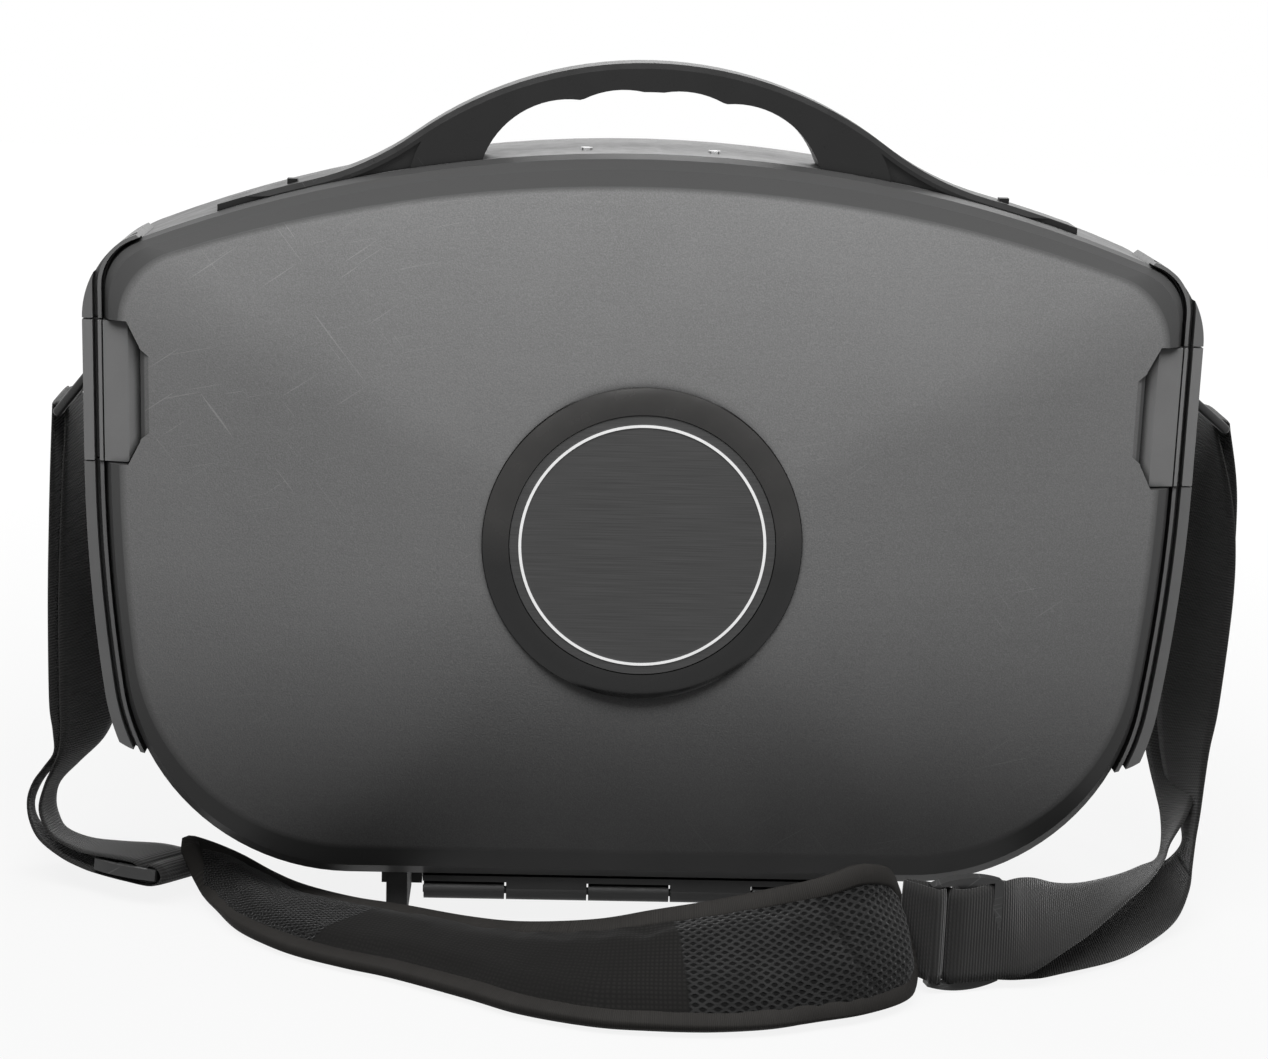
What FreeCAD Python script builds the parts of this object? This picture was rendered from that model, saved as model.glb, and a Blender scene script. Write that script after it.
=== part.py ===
import FreeCAD, Part
import Sketcher
import math
import os

Vector = FreeCAD.Vector
Rotation = FreeCAD.Rotation
Placement = FreeCAD.Placement

# Every size that can be chosen by itself, in millimetres

SIZES = {
    # Case outline
    "case_depth": 165.0,
    "dome_deep": 24.5,
    "edge_deep": 14.0,
    "seam_gap": 1.0,
    "wall": 3.5,
    "slip_fit": 0.4,
    "panel_gap": 0.8,
    "rim_half_width": 269.0,
    "foot_high": 28.0,
    "rim_high": 378.0,
    "rim_arch": 680.0,
    "rim_corner": 24.0,
    "rim_lean": 900.0,
    "rim_heel": 115.0,
    # Base shell and the seal in its rim
    "base_round": 48.5,
    "back_inset": 18.0,
    "seal_thick": 3.0,
    "seal_deep": 6.0,
    # Screws on top of the base
    "screw_x": 32.0,
    "screw_back": 20.0,
    "screw_radius": 3.0,
    "screw_proud": 1.2,
    # Side rails
    "rail_out": 10.5,
    "rail_fore": 7.0,
    "rail_rear": 39.0,
    "rail_drop": 154.0,
    "rail_tip": 36.0,
    "rail_end_out": 8.0,
    "rail_end_up": 26.0,
    "groove_in": 2.6,
    "groove_wide": 2.7,
    "groove_deep": 7.0,
    # Side latches
    "latch_up": 218.0,
    "latch_long": 72.5,
    "latch_back": 32.0,
    "latch_axis_in": 4.0,
    "latch_pin_radius": 1.5,
    "latch_pin_grip": 8.0,
    "tab_reach": 18.0,
    "tab_shoulder": 6.0,
    "tab_ridge": 5.5,
    "tab_bevel": 12.5,
    "tab_fore": 11.0,
    "tab_slope": 4.0,
    "tab_gap": 1.0,
    "arm_gap": 2.0,
    "arm_crown": 1.5,
    "scoop_reach": 4.5,
    "scoop_deep": 4.0,
    # Lid face
    "face_in": 8.0,
    "face_drop": 15.0,
    "face_lift": 18.0,
    "face_arch_more": 60.0,
    "face_corner": 38.0,
    "face_heel": 112.0,
    "lid_wall": 3.0,
    "dome_wall": 6.0,
    # Round emblem
    "emblem_up": 188.0,
    "emblem_pocket_deep": 6.0,
    "ring_radius": 79.4,
    "ring_crown": 22.0,
    "ring_set_back": 1.0,
    "ring_edge_back": 3.0,
    "ring_wide": 13.4,
    "disc_set_back": 1.6,
    "trim_in": 4.5,
    "trim_wide": 1.4,
    "trim_proud": 0.5,
    # Screen side of the lid
    "bezel_inset": 1.0,
    "bezel_thick": 2.5,
    "screen_side": 64.0,
    "screen_above": 68.5,
    "screen_high": 231.0,
    "panel_edge": 5.0,
    "panel_deep": 5.0,
    "board_half_wide": 70.0,
    "board_half_high": 45.0,
    "board_deep": 1.6,
    "board_gap": 2.0,
    # Control row, speakers and sockets
    "row_gap": 4.5,
    "button_radius": 4.0,
    "button_pitch": 20.0,
    "button_proud": 1.6,
    "button_flange_radius": 5.2,
    "button_flange_thick": 1.5,
    "speaker_x": 150.0,
    "speaker_wide": 84.0,
    "speaker_high": 26.0,
    "speaker_deep": 5.0,
    "grille_thick": 1.5,
    "grille_gap": 1.0,
    "grille_edge": 4.0,
    "jack_x": 75.0,
    "jack_bore": 1.75,
    "jack_radius": 4.0,
    "jack_deep": 14.0,
    "socket_x": 52.0,
    "socket_deep": 12.0,
    "socket_floor": 1.0,
    "socket_edge": 1.5,
    "video_wide": 15.2,
    "video_high": 5.6,
    "dc_bore": 2.75,
    # Hinge
    "hinge_drop": 9.0,
    "barrel_radius": 5.0,
    "hinge_pin_radius": 2.0,
    "hinge_half": 108.0,
    "leaf_thick": 4.0,
    "knuckle_gap": 0.5,
    # Feet
    "foot_x": 122.0,
    "foot_wide": 11.0,
    "foot_deep": 48.0,
    "rear_foot_gap": 3.5,
    "rear_foot_wide": 22.0,
    "rear_foot_deep": 20.0,
    # Carrying handle
    "handle_set_back": 2.0,
    "handle_deep": 29.0,
    "handle_rise": 44.0,
    "handle_bevel": 2.6,
    "handle_crest": 200.0,
    "handle_sweep": 150.0,
    "wing_thick": 3.2,
    "wing_x": 214.0,
    "grip_thick": 14.0,
    "grip_under_round": 140.0,
    "finger_gap_half": 79.0,
    "finger_gap_corner": 14.0,
    "scallop_pitch": 27.0,
    "scallop_deep": 2.0,
    "step_x": 120.0,
    "step_top_x": 88.0,
    "step_round": 45.0,
    "step_edge": 4.5,
    "step_deep": 2.5,
    "nub_x": 178.0,
    "nub_wide": 5.0,
    "nub_high": 2.0,
    # Strap rings and brackets
    "strap_pivot_out": 7.5,
    "strap_pivot_up": 46.0,
    "strap_ring_gap": 5.0,
    "strap_ring_wide": 56.0,
    "strap_ring_length": 40.0,
    "strap_reach_right": 31.0,
    "strap_reach_left": 25.0,
    "strap_wire_radius": 2.5,
    "bracket_wide": 40.0,
    "bracket_edge": 3.5,
    # Shoulder strap
    "web_wide": 50.0,
    "web_thick": 4.0,
    "pad_thick": 10.0,
    "slider_long": 38.0,
    "slider_wide": 60.0,
    "slider_bulge": 3.5,
    "slider_thick": 6.0,
    # Console bay
    "mat_thick": 5.0,
    "mat_side": 69.0,
    "mat_above": 56.0,
    "mat_below": 52.0,
    "hold_strap_x": 110.0,
    "hold_strap_wide": 38.0,
    "hold_strap_thick": 2.0,
    "hold_strap_end": 10.0,
}

doc = FreeCAD.newDocument("MonitorCase")
sheet = doc.addObject("Spreadsheet::Sheet", "Sizes")
sheet_rows = [0]


class Size:
    """A length together with the sheet formula that gives it; @ marks the name of a sheet cell."""

    def __init__(self, value, text):
        self.value = value
        self.text = text

    def __add__(self, other):
        other = as_size(other)
        return Size(self.value + other.value, "(%s + %s)" % (self.text, other.text))

    def __radd__(self, other):
        return as_size(other) + self

    def __sub__(self, other):
        other = as_size(other)
        return Size(self.value - other.value, "(%s - %s)" % (self.text, other.text))

    def __rsub__(self, other):
        return as_size(other) - self

    def __mul__(self, other):
        other = as_size(other)
        return Size(self.value * other.value, "(%s * %s)" % (self.text, other.text))

    def __rmul__(self, other):
        return as_size(other) * self

    def __truediv__(self, other):
        other = as_size(other)
        return Size(self.value / other.value, "(%s / %s)" % (self.text, other.text))

    def __neg__(self):
        return Size(-self.value, "(0 - %s)" % self.text)


def as_size(value):
    if isinstance(value, Size):
        return value
    return Size(float(value), "(%r)" % float(value))


def root(size):
    return Size(math.sqrt(size.value), "sqrt(%s)" % size.text)


def put_cell(name, content):
    sheet_rows[0] += 1
    place = "B%d" % sheet_rows[0]
    sheet.set("A%d" % sheet_rows[0], name)
    sheet.set(place, content)
    sheet.setAlias(place, name)


for size_name, chosen in SIZES.items():
    put_cell(size_name, repr(chosen))


def named(name):
    """A size that is chosen, in millimetres."""
    return Size(SIZES[name], "@" + name)


def derived(name, size):
    """A size that follows from others; the sheet holds its formula."""
    put_cell(name, "=" + size.text.replace("@", ""))
    return Size(size.value, "@" + name)


def bind(item, path, size):
    item.setExpression(path, as_size(size).text.replace("@", "Sizes."))


# Helpers that make bound shapes

TURNS = {
    "XY": Rotation(),
    "XZ": Rotation(Vector(1, 0, 0), 90),
    "YZ": Rotation(Vector(1, 1, 1), 120),
}
OFFSET_AXIS = {"XY": "z", "XZ": "y", "YZ": "x"}


def arc_middle(start, end, radius, left):
    """The point halfway along a short arc; its centre is to the left or right of the way from start to end."""
    chord = end.sub(start)
    half = chord.Length / 2
    bulge = radius - math.sqrt(max(radius * radius - half * half, 0.0))
    side = Vector(chord.y, -chord.x, 0).multiply(1.0 / chord.Length)
    if not left:
        side = side.negative()
    return start.add(chord.multiply(0.5)).add(side.multiply(bulge))


def sketch(label, plane, at, path):
    """A closed sketch; each corner is (u, v, bend), bend being None or (radius, centre on the left)."""
    item = doc.addObject("Sketcher::SketchObject", label)
    at = as_size(at)
    base = Vector(0, 0, 0)
    setattr(base, OFFSET_AXIS[plane], at.value)
    item.Placement = Placement(base, TURNS[plane])
    bind(item, "Placement.Base." + OFFSET_AXIS[plane], at)
    corners = [(as_size(u), as_size(v), bend) for u, v, bend in path]
    points = [Vector(u.value, v.value, 0) for u, v, bend in corners]
    ends = []
    for index, (u, v, bend) in enumerate(corners):
        start = points[index]
        end = points[(index + 1) % len(points)]
        if bend is None:
            item.addGeometry(Part.LineSegment(start, end), False)
            ends.append((1, 2))
        else:
            middle = arc_middle(start, end, as_size(bend[0]).value, bend[1])
            item.addGeometry(Part.Arc(start, middle, end), False)
            ends.append((1, 2) if bend[1] else (2, 1))
    for index in range(len(corners)):
        after = (index + 1) % len(corners)
        item.addConstraint(Sketcher.Constraint("Coincident", index, ends[index][1], after, ends[after][0]))
    for index, (u, v, bend) in enumerate(corners):
        first = ends[index][0]
        spot = item.addConstraint(Sketcher.Constraint("DistanceX", index, first, u.value))
        bind(item, "Constraints[%d]" % spot, u)
        spot = item.addConstraint(Sketcher.Constraint("DistanceY", index, first, v.value))
        bind(item, "Constraints[%d]" % spot, v)
        if bend is not None:
            radius = as_size(bend[0])
            spot = item.addConstraint(Sketcher.Constraint("Radius", index, radius.value))
            bind(item, "Constraints[%d]" % spot, radius)
    return item


def extrude(label, profile, direction, length):
    item = doc.addObject("Part::Extrusion", label)
    item.Base = profile
    item.DirMode = "Custom"
    item.Dir = direction
    item.Solid = True
    length = as_size(length)
    item.LengthFwd = length.value
    bind(item, "LengthFwd", length)
    return item


def slab(label, path, front, back):
    """A front-view outline carried from one depth to another."""
    return extrude(label, sketch(label + "_sketch", "XZ", front, path), Vector(0, 1, 0), back - front)


def loft(label, sections, ruled):
    item = doc.addObject("Part::Loft", label)
    item.Sections = sections
    item.Solid = True
    item.Ruled = ruled
    return item


def cut(label, base, tool):
    item = doc.addObject("Part::Cut", label)
    item.Base = base
    item.Tool = tool
    return item


def common(label, first, second):
    item = doc.addObject("Part::MultiCommon", label)
    item.Shapes = [first, second]
    return item


def fuse(label, items):
    item = doc.addObject("Part::MultiFuse", label)
    item.Shapes = items
    item.Refine = True
    return item


def place(item, x, y, z):
    for axis, size in (("x", x), ("y", y), ("z", z)):
        bind(item, "Placement.Base." + axis, size)
    return item


def box(label, x0, x1, y0, y1, z0, z1):
    item = doc.addObject("Part::Box", label)
    bind(item, "Length", as_size(x1) - x0)
    bind(item, "Width", as_size(y1) - y0)
    bind(item, "Height", as_size(z1) - z0)
    return place(item, x0, y0, z0)


AXIS_TURNS = {
    "x": Rotation(Vector(0, 1, 0), 90),
    "y": Rotation(Vector(1, 0, 0), -90),
    "z": Rotation(),
}


def rod(label, axis, x, y, z, radius, length):
    """A cylinder that starts at the given point and runs along one axis."""
    item = doc.addObject("Part::Cylinder", label)
    item.Placement = Placement(Vector(0, 0, 0), AXIS_TURNS[axis])
    bind(item, "Radius", radius)
    bind(item, "Height", length)
    return place(item, x, y, z)


def turned(label, path, centre_z):
    """A profile of radius and depth, turned round a level front-to-back axis."""
    item = doc.addObject("Part::Revolution", label)
    item.Source = sketch(label + "_sketch", "XY", centre_z, path)
    item.Axis = Vector(0, 1, 0)
    item.Base = Vector(0, 0, centre_z.value)
    item.Angle = 360
    item.Solid = True
    bind(item, "Base.z", centre_z)
    return item


def mirrored(label, item):
    twin = doc.addObject("Part::Mirroring", label)
    twin.Source = item
    twin.Base = Vector(0, 0, 0)
    twin.Normal = Vector(1, 0, 0)
    return twin


nodes = []


def node(name, item):
    item.Label = name
    nodes.append(item)
    return item


def pair(name, right):
    """A right-hand piece and its mirror twin."""
    node(name + "_right", right)
    node(name + "_left", mirrored(name + "_left", right))


# Planes and heights of the case outline

depth = named("case_depth")
fit = named("slip_fit")
slot = named("panel_gap")
wall = named("wall")
seam_gap = named("seam_gap")
half_width = named("rim_half_width")
rim_bottom = named("foot_high")
rim_arch = named("rim_arch")
rim_corner = named("rim_corner")
rim_lean = named("rim_lean")
front_y = derived("front_y", -depth / 2)
back_y = derived("back_y", depth / 2)
face_y = derived("face_y", front_y + named("dome_deep"))
seam_y = derived("seam_y", face_y + named("edge_deep"))
lid_rim_y = derived("lid_rim_y", seam_y - seam_gap / 2)
base_rim_y = derived("base_rim_y", seam_y + seam_gap / 2)
rim_top = derived("rim_top", rim_bottom + named("rim_high"))
latch_low = derived("latch_low", rim_bottom + named("latch_up"))
latch_high = derived("latch_high", latch_low + named("latch_long"))
side_low = derived("side_low", latch_low + fit * 5)
OVER = 20


class Outline:
    """An arched top, rounded corners, leaning sides and a flat bottom, all meeting smoothly."""

    def __init__(self, name, half, top, arch, corner, bottom, heel):
        self.half = half
        self.arch = arch
        self.corner = corner
        self.bottom = bottom
        self.heel = heel
        self.arch_z = derived(name + "_arch_z", top - arch)
        self.reach = arch - corner
        self.corner_x = half - corner
        rise = root(self.reach * self.reach - self.corner_x * self.corner_x)
        self.corner_z = derived(name + "_corner_z", self.arch_z + rise)
        self.lean_x = half - rim_lean
        self.heel_z = bottom + heel
        self.gap = rim_lean - heel
        drop = side_low - self.heel_z
        self.heel_x = derived(name + "_heel_x", self.lean_x + root(self.gap * self.gap - drop * drop))

    def path(self, inset, scale=1.0, centre_z=0.0):
        inset = as_size(inset)
        arch = self.arch - inset
        lean = rim_lean - inset
        corner = self.corner - inset
        heel = self.heel - inset
        arch_x = self.corner_x / self.reach * arch
        arch_z = self.arch_z + (self.corner_z - self.arch_z) / self.reach * arch
        side_x = self.half - inset
        low_x = self.lean_x + (self.heel_x - self.lean_x) / self.gap * lean
        low_z = side_low + (self.heel_z - side_low) / self.gap * lean
        base_z = self.bottom + inset
        corners = [
            (-self.heel_x, base_z, None),
            (self.heel_x, base_z, heel),
            (low_x, low_z, lean),
            (side_x, side_low, None),
            (side_x, self.corner_z, corner),
            (arch_x, arch_z, arch),
            (-arch_x, arch_z, corner),
            (-side_x, self.corner_z, None),
            (-side_x, side_low, lean),
            (-low_x, low_z, heel),
        ]
        path = []
        for u, v, radius in corners:
            bend = None if radius is None else (radius * scale, True)
            path.append((u * scale, centre_z + (v - centre_z) * scale, bend))
        return path


rim = Outline("rim", half_width, rim_top, rim_arch, rim_corner, rim_bottom, named("rim_heel"))


def arch_height(x, arch):
    return rim.arch_z + root(arch * arch - x * x)


# Base shell: a deep tray with a rounded back and two screw holes in its top

base_round = named("base_round")
base_straight_y = derived("base_straight_y", back_y - base_round)
back_inset = named("back_inset")
ROUND_STEPS = 5


def tray_sections(label, inset, back_gap, front):
    sections = [sketch(label + "_0", "XZ", front, rim.path(inset))]
    for step in range(ROUND_STEPS + 1):
        angle = math.pi / 2 * step / ROUND_STEPS
        y = base_straight_y + (base_round - back_gap) * math.sin(angle)
        path = rim.path(inset + back_inset * (1 - math.cos(angle)))
        sections.append(sketch("%s_%d" % (label, step + 1), "XZ", y, path))
    return sections


tray_outer = loft("tray_outer", tray_sections("tray_out", as_size(0), as_size(0), base_rim_y), True)
tray_inner = loft("tray_inner", tray_sections("tray_in", wall, wall, base_rim_y - seam_gap), True)
tray = cut("tray", tray_outer, tray_inner)
handle_front_y = derived("handle_front_y", seam_y + named("handle_set_back"))
handle_back_y = derived("handle_back_y", handle_front_y + named("handle_deep"))
screw_x = named("screw_x")
screw_y = derived("screw_y", handle_front_y + named("screw_back"))
screw_radius = named("screw_radius")
screw_base = derived("screw_base", arch_height(screw_x, rim_arch))
screw_hole = rod("screw_hole", "z", screw_x, screw_y, screw_base - wall * 2, screw_radius, wall * 4)
screw_holes = fuse("screw_holes", [screw_hole, mirrored("screw_hole_left", screw_hole)])
node("base_shell", cut("base_shell", tray, screw_holes))

# Round screw heads on the top between the handle legs

pair("handle_screw", rod("handle_screw", "z", screw_x, screw_y, screw_base - wall, screw_radius,
                         wall + named("screw_proud")))

# Seal that lies in the base rim, just inside the wall

seal_thick = named("seal_thick")
seal_deep = named("seal_deep")
seal_out = slab("seal_out", rim.path(wall), base_rim_y, base_rim_y + seal_deep)
seal_in = slab("seal_in", rim.path(wall + seal_thick), base_rim_y - OVER, base_rim_y + seal_deep + OVER)
node("rim_seal", cut("rim_seal", seal_out, seal_in))

# Side rails outside the rim, cut by the latches

rail_out = named("rail_out")
groove_in = named("groove_in")
groove_deep = named("groove_deep")
pin_radius = named("latch_pin_radius")
pin_grip = named("latch_pin_grip")
latch_long = latch_high - latch_low
rail_front_y = derived("rail_front_y", seam_y - named("rail_fore"))
rail_back_y = derived("rail_back_y", seam_y + named("rail_rear"))
rail_low_z = derived("rail_low_z", latch_low - named("rail_drop"))
rail_end_x = derived("rail_end_x", rim.corner_x + named("rail_end_out"))
rail_end_z = derived("rail_end_z", rim.corner_z + named("rail_end_up"))
rail_x = derived("rail_x", half_width + rail_out)
latch_x = derived("latch_axis_x", rail_x - named("latch_axis_in"))
latch_y = derived("latch_axis_y", seam_y + named("latch_back"))

rail_rise = rail_end_z - latch_high
rail_span = rail_x - rail_end_x
rail_bow = derived("rail_bow", (rail_rise * rail_rise + rail_span * rail_span) / (2 * rail_span))
rail_root_x = half_width - rail_out * 4
rail_tip = named("rail_tip")
rim_core = slab("rim_core", rim.path(0), rail_front_y - OVER, rail_back_y + OVER)
lid_room = slab("lid_room", rim.path(-1.0 * slot), rail_front_y - OVER, base_rim_y)
groove_outer = rim.path(-1.0 * (groove_in + named("groove_wide")))
groove_far = slab("groove_far", groove_outer, rail_front_y - OVER, rail_front_y + groove_deep)
groove_near = slab("groove_near", rim.path(-1.0 * groove_in), rail_front_y - 2 * OVER,
                   rail_front_y + groove_deep + OVER)
rail_groove = cut("rail_groove", groove_far, groove_near)
pin_hole = rod("pin_hole", "z", latch_x, latch_y, latch_low - pin_grip, pin_radius, latch_long + 2 * pin_grip)


def finish_rail(label, blank):
    """Clears the wall and the lid edge, then cuts the long groove and the pin hole."""
    clear = cut(label + "_wall", blank, rim_core)
    clear = cut(label + "_room", clear, lid_room)
    clear = cut(label + "_groove", clear, rail_groove)
    return cut(label + "_pin", clear, pin_hole)


upper_path = [
    (rail_root_x, latch_high, None),
    (rail_x, latch_high, (rail_bow, True)),
    (rail_end_x, rail_end_z, None),
    (rail_root_x, rail_end_z - rail_rise / 2, None),
]
pair("upper_rail", finish_rail("upper_rail", slab("upper_blank", upper_path, rail_front_y, rail_back_y)))
lower_path = [
    (rail_root_x - rail_out, rail_low_z, None),
    (rail_x - rail_tip, rail_low_z, (rail_tip, True)),
    (rail_x, rail_low_z + rail_tip, None),
    (rail_x + rail_out, rail_low_z + rail_tip, None),
    (rail_x + rail_out, latch_low, None),
    (rail_root_x - rail_out, latch_low, None),
]
lower_band = slab("lower_band", rim.path(-1.0 * rail_out), rail_front_y, rail_back_y)
lower_zone = slab("lower_zone", lower_path, rail_front_y - OVER, rail_back_y + OVER)
pair("lower_rail", finish_rail("lower_rail", common("lower_blank", lower_band, lower_zone)))
pair("latch_pin", rod("latch_pin", "z", latch_x, latch_y, latch_low - pin_grip, pin_radius,
                      latch_long + 2 * pin_grip))

# Side latches: a hinged arm whose six-sided tab closes over the lid edge

tab_bevel = named("tab_bevel")
tab_x = derived("tab_x", half_width - named("tab_reach"))
tab_shoulder_x = derived("tab_shoulder_x", tab_x + named("tab_shoulder"))
ridge_x = derived("ridge_x", tab_x + named("tab_ridge"))
tab_front_y = derived("tab_front_y", seam_y - named("tab_fore"))
tab_back_y = derived("tab_back_y", lid_rim_y - named("tab_gap"))
arm_inner_x = derived("arm_inner_x", half_width + named("arm_gap"))


def tab_path(spread, far_x):
    """The six-sided tab outline, widened by spread, out to far_x."""
    return [
        (far_x, latch_low + slot - spread, None),
        (far_x, latch_high - slot + spread, None),
        (tab_shoulder_x - spread * 0.4, latch_high - slot + spread, None),
        (tab_x - spread, latch_high - tab_bevel, None),
        (tab_x - spread, latch_low + tab_bevel, None),
        (tab_shoulder_x - spread * 0.4, latch_low + slot - spread, None),
    ]


latch_path = [
    (rail_x, latch_y, None),
    (arm_inner_x, latch_y, None),
    (arm_inner_x, tab_back_y, None),
    (tab_x - slot, tab_back_y, None),
    (tab_x - slot, tab_front_y + named("tab_slope"), None),
    (ridge_x, tab_front_y, None),
    (half_width, rail_front_y - named("arm_crown"), None),
    (rail_x, rail_front_y, None),
]
plan_sketch = sketch("latch_plan_sketch", "XY", latch_low, latch_path)
plan_solid = extrude("latch_plan", plan_sketch, Vector(0, 0, 1), latch_long)
tab_solid = slab("latch_tab", tab_path(as_size(0), rail_x + OVER), tab_front_y - OVER, latch_y)
knuckle = rod("latch_knuckle", "z", latch_x, latch_y, latch_low + slot, rail_x - latch_x, latch_long - 2 * slot)
latch_body = fuse("latch_body", [common("latch_front", plan_solid, tab_solid), knuckle])
latch_bore = rod("latch_bore", "z", latch_x, latch_y, latch_low - OVER, pin_radius + fit, latch_long + 2 * OVER)
latch_bored = cut("latch_bored", latch_body, latch_bore)
line_far = slab("line_far", rim.path(-1.0 * slot), rail_front_y - OVER, rail_front_y + groove_deep / 2)
line_near = slab("line_near", rim.path(0), rail_front_y - 2 * OVER, rail_front_y + groove_deep / 2 + OVER)
latch_lined = cut("latch_lined", latch_bored, cut("edge_line", line_far, line_near))
pair("latch", cut("latch", latch_lined, rail_groove))

# Lid shell: rolled edge band, then a low dome

lid_wall = named("lid_wall")
disc_set_back = named("disc_set_back")
ring_radius = named("ring_radius")
face_half = derived("face_half", half_width - named("face_in"))
face_top = derived("face_top", rim_top - named("face_drop"))
face_bottom = derived("face_bottom", rim_bottom + named("face_lift"))
face_arch = derived("face_arch", rim_arch + named("face_arch_more"))
emblem_z = derived("emblem_z", rim_bottom + named("emblem_up"))
dome_rise = derived("dome_rise", face_y - front_y - disc_set_back - seam_gap * 0.4)
pocket_y = derived("pocket_y", front_y + named("emblem_pocket_deep"))
face = Outline("face", face_half, face_top, face_arch, named("face_corner"), face_bottom, named("face_heel"))
DOME_SCALES = (1.0, 0.78, 0.52, 0.27)
BAND_STEPS = ((0.0, 0.0), (0.45, 0.12), (0.8, 0.42), (1.0, 1.0))


def lid_solid(label, inset, lift, start_y):
    """The lid form: a band from the rim to the face edge, with a dome on the face."""
    band = []
    rim_path = rim.path(inset)
    face_path = face.path(inset)
    for index, (deep, across) in enumerate(BAND_STEPS):
        path = []
        for (u0, v0, bend0), (u1, v1, bend1) in zip(rim_path, face_path):
            bend = None
            if bend0 is not None:
                bend = (bend0[0] * (1 - across) + bend1[0] * across, True)
            path.append((u0 * (1 - across) + u1 * across, v0 * (1 - across) + v1 * across, bend))
        y = start_y * (1 - deep) + (face_y + lift) * deep
        band.append(sketch("%s_band_%d" % (label, index), "XZ", y, path))
    dome = []
    for index, scale in enumerate(DOME_SCALES):
        y = face_y + lift - dome_rise * (1 - scale * scale)
        dome.append(sketch("%s_dome_%d" % (label, index), "XZ", y, face.path(inset, scale, emblem_z)))
    return fuse(label, [loft(label + "_band", band, True), loft(label + "_dome", dome, False)])


lid_outer = lid_solid("lid_outer", as_size(0), as_size(0), lid_rim_y)
lid_inner = lid_solid("lid_inner", lid_wall, named("dome_wall"), lid_rim_y + seam_gap)
tab_room = slab("tab_room", tab_path(slot, rail_x + OVER), front_y, base_rim_y)
tab_frame = slab("tab_frame", tab_path(slot + lid_wall, rail_x + OVER), front_y - OVER, base_rim_y + OVER)
frame_both = fuse("frame_both", [tab_frame, mirrored("tab_frame_left", tab_frame)])
room_both = fuse("room_both", [tab_room, mirrored("tab_room_left", tab_room)])
emblem_pocket = rod("emblem_pocket", "y", 0, front_y - OVER, emblem_z, ring_radius + fit,
                    pocket_y - front_y + OVER)
hollow = cut("lid_hollow", lid_inner, frame_both)
lid_cut = cut("lid_cut", cut("lid_open", lid_outer, hollow), room_both)

# Finger scoops: a slope in the lid beside each tab

scoop_reach = named("scoop_reach")
scoop_path = [
    (tab_x - slot - scoop_reach, face_y - scoop_reach, None),
    (tab_x, face_y - scoop_reach, None),
    (tab_x, face_y + named("scoop_deep") - disc_set_back, None),
    (tab_x - slot - scoop_reach, face_y - disc_set_back - slot, None),
]
scoop_sketch = sketch("scoop_sketch", "XY", latch_low, scoop_path)
scoop_slope = extrude("scoop_slope", scoop_sketch, Vector(0, 0, 1), latch_long)
scoop_far_x = tab_x - slot - scoop_reach
scoop_face = [
    (tab_x, latch_low + tab_bevel, None),
    (tab_x, latch_high - tab_bevel, None),
    (scoop_far_x, latch_high - tab_bevel - scoop_reach, None),
    (scoop_far_x, latch_low + tab_bevel + scoop_reach, None),
]
scoop_outline = slab("scoop_outline", scoop_face, face_y - OVER, face_y + OVER)
scoop = common("scoop", scoop_slope, scoop_outline)
scoop_both = fuse("scoop_both", [scoop, mirrored("scoop_left", scoop)])
lid_scooped = cut("lid_scooped", lid_cut, scoop_both)
lid_shell = node("lid_shell", cut("lid_shell", lid_scooped, emblem_pocket))

# Round emblem: convex ring, plain disc and a thin bright circle

disc_radius = derived("disc_radius", ring_radius - named("ring_wide"))
trim_radius = derived("trim_radius", disc_radius - named("trim_in"))
trim_wide = named("trim_wide")
trim_proud = named("trim_proud")
disc_y = derived("disc_y", front_y + disc_set_back)
ring_path = [
    (disc_radius + fit, pocket_y, None),
    (disc_radius + fit, front_y + named("ring_set_back"), (named("ring_crown"), True)),
    (ring_radius, front_y + named("ring_edge_back"), None),
    (ring_radius, pocket_y, None),
]
node("emblem_ring", turned("emblem_ring", ring_path, emblem_z))
node("emblem_disc", rod("emblem_disc", "y", 0, disc_y, emblem_z, disc_radius, pocket_y - disc_y))
trim_path = [
    (trim_radius - trim_wide, disc_y - trim_proud, None),
    (trim_radius, disc_y - trim_proud, None),
    (trim_radius, disc_y, None),
    (trim_radius - trim_wide, disc_y, None),
]
node("emblem_trim", turned("emblem_trim", trim_path, emblem_z))

# Screen side of the lid

bezel_back_y = derived("bezel_back_y", lid_rim_y - named("bezel_inset"))
bezel_front_y = derived("bezel_front_y", bezel_back_y - named("bezel_thick"))
bezel_deep = bezel_back_y - bezel_front_y
screen_high = named("screen_high")
screen_half = derived("screen_half", half_width - named("screen_side"))
screen_z = derived("screen_z", rim_top - named("screen_above") - screen_high / 2)
panel_edge = named("panel_edge")
panel_deep = named("panel_deep")
bezel_plate = slab("bezel_plate", rim.path(lid_wall + fit), bezel_front_y, bezel_back_y)
bezel_clear = slab("bezel_clear", tab_path(slot + lid_wall + fit, rail_x + OVER), bezel_front_y - OVER,
                   bezel_back_y + OVER)
screen_window = box("screen_window", -screen_half, screen_half, bezel_front_y - OVER, bezel_back_y + OVER,
                    screen_z - screen_high / 2, screen_z + screen_high / 2)
panel_half = screen_half + panel_edge
panel_rise = screen_high / 2 + panel_edge
node("lcd_panel", box("lcd_panel", -panel_half, panel_half, bezel_front_y - panel_deep, bezel_front_y,
                      screen_z - panel_rise, screen_z + panel_rise))
board_wide = named("board_half_wide")
board_high = named("board_half_high")
panel_front_y = derived("panel_front_y", bezel_front_y - panel_deep)
board_y = derived("board_y", panel_front_y - named("board_gap") - named("board_deep"))
node("driver_board", box("driver_board", -board_wide, board_wide, board_y, panel_front_y,
                         screen_z - board_high, screen_z + board_high))

# Control row, speakers and sockets under the screen

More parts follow.
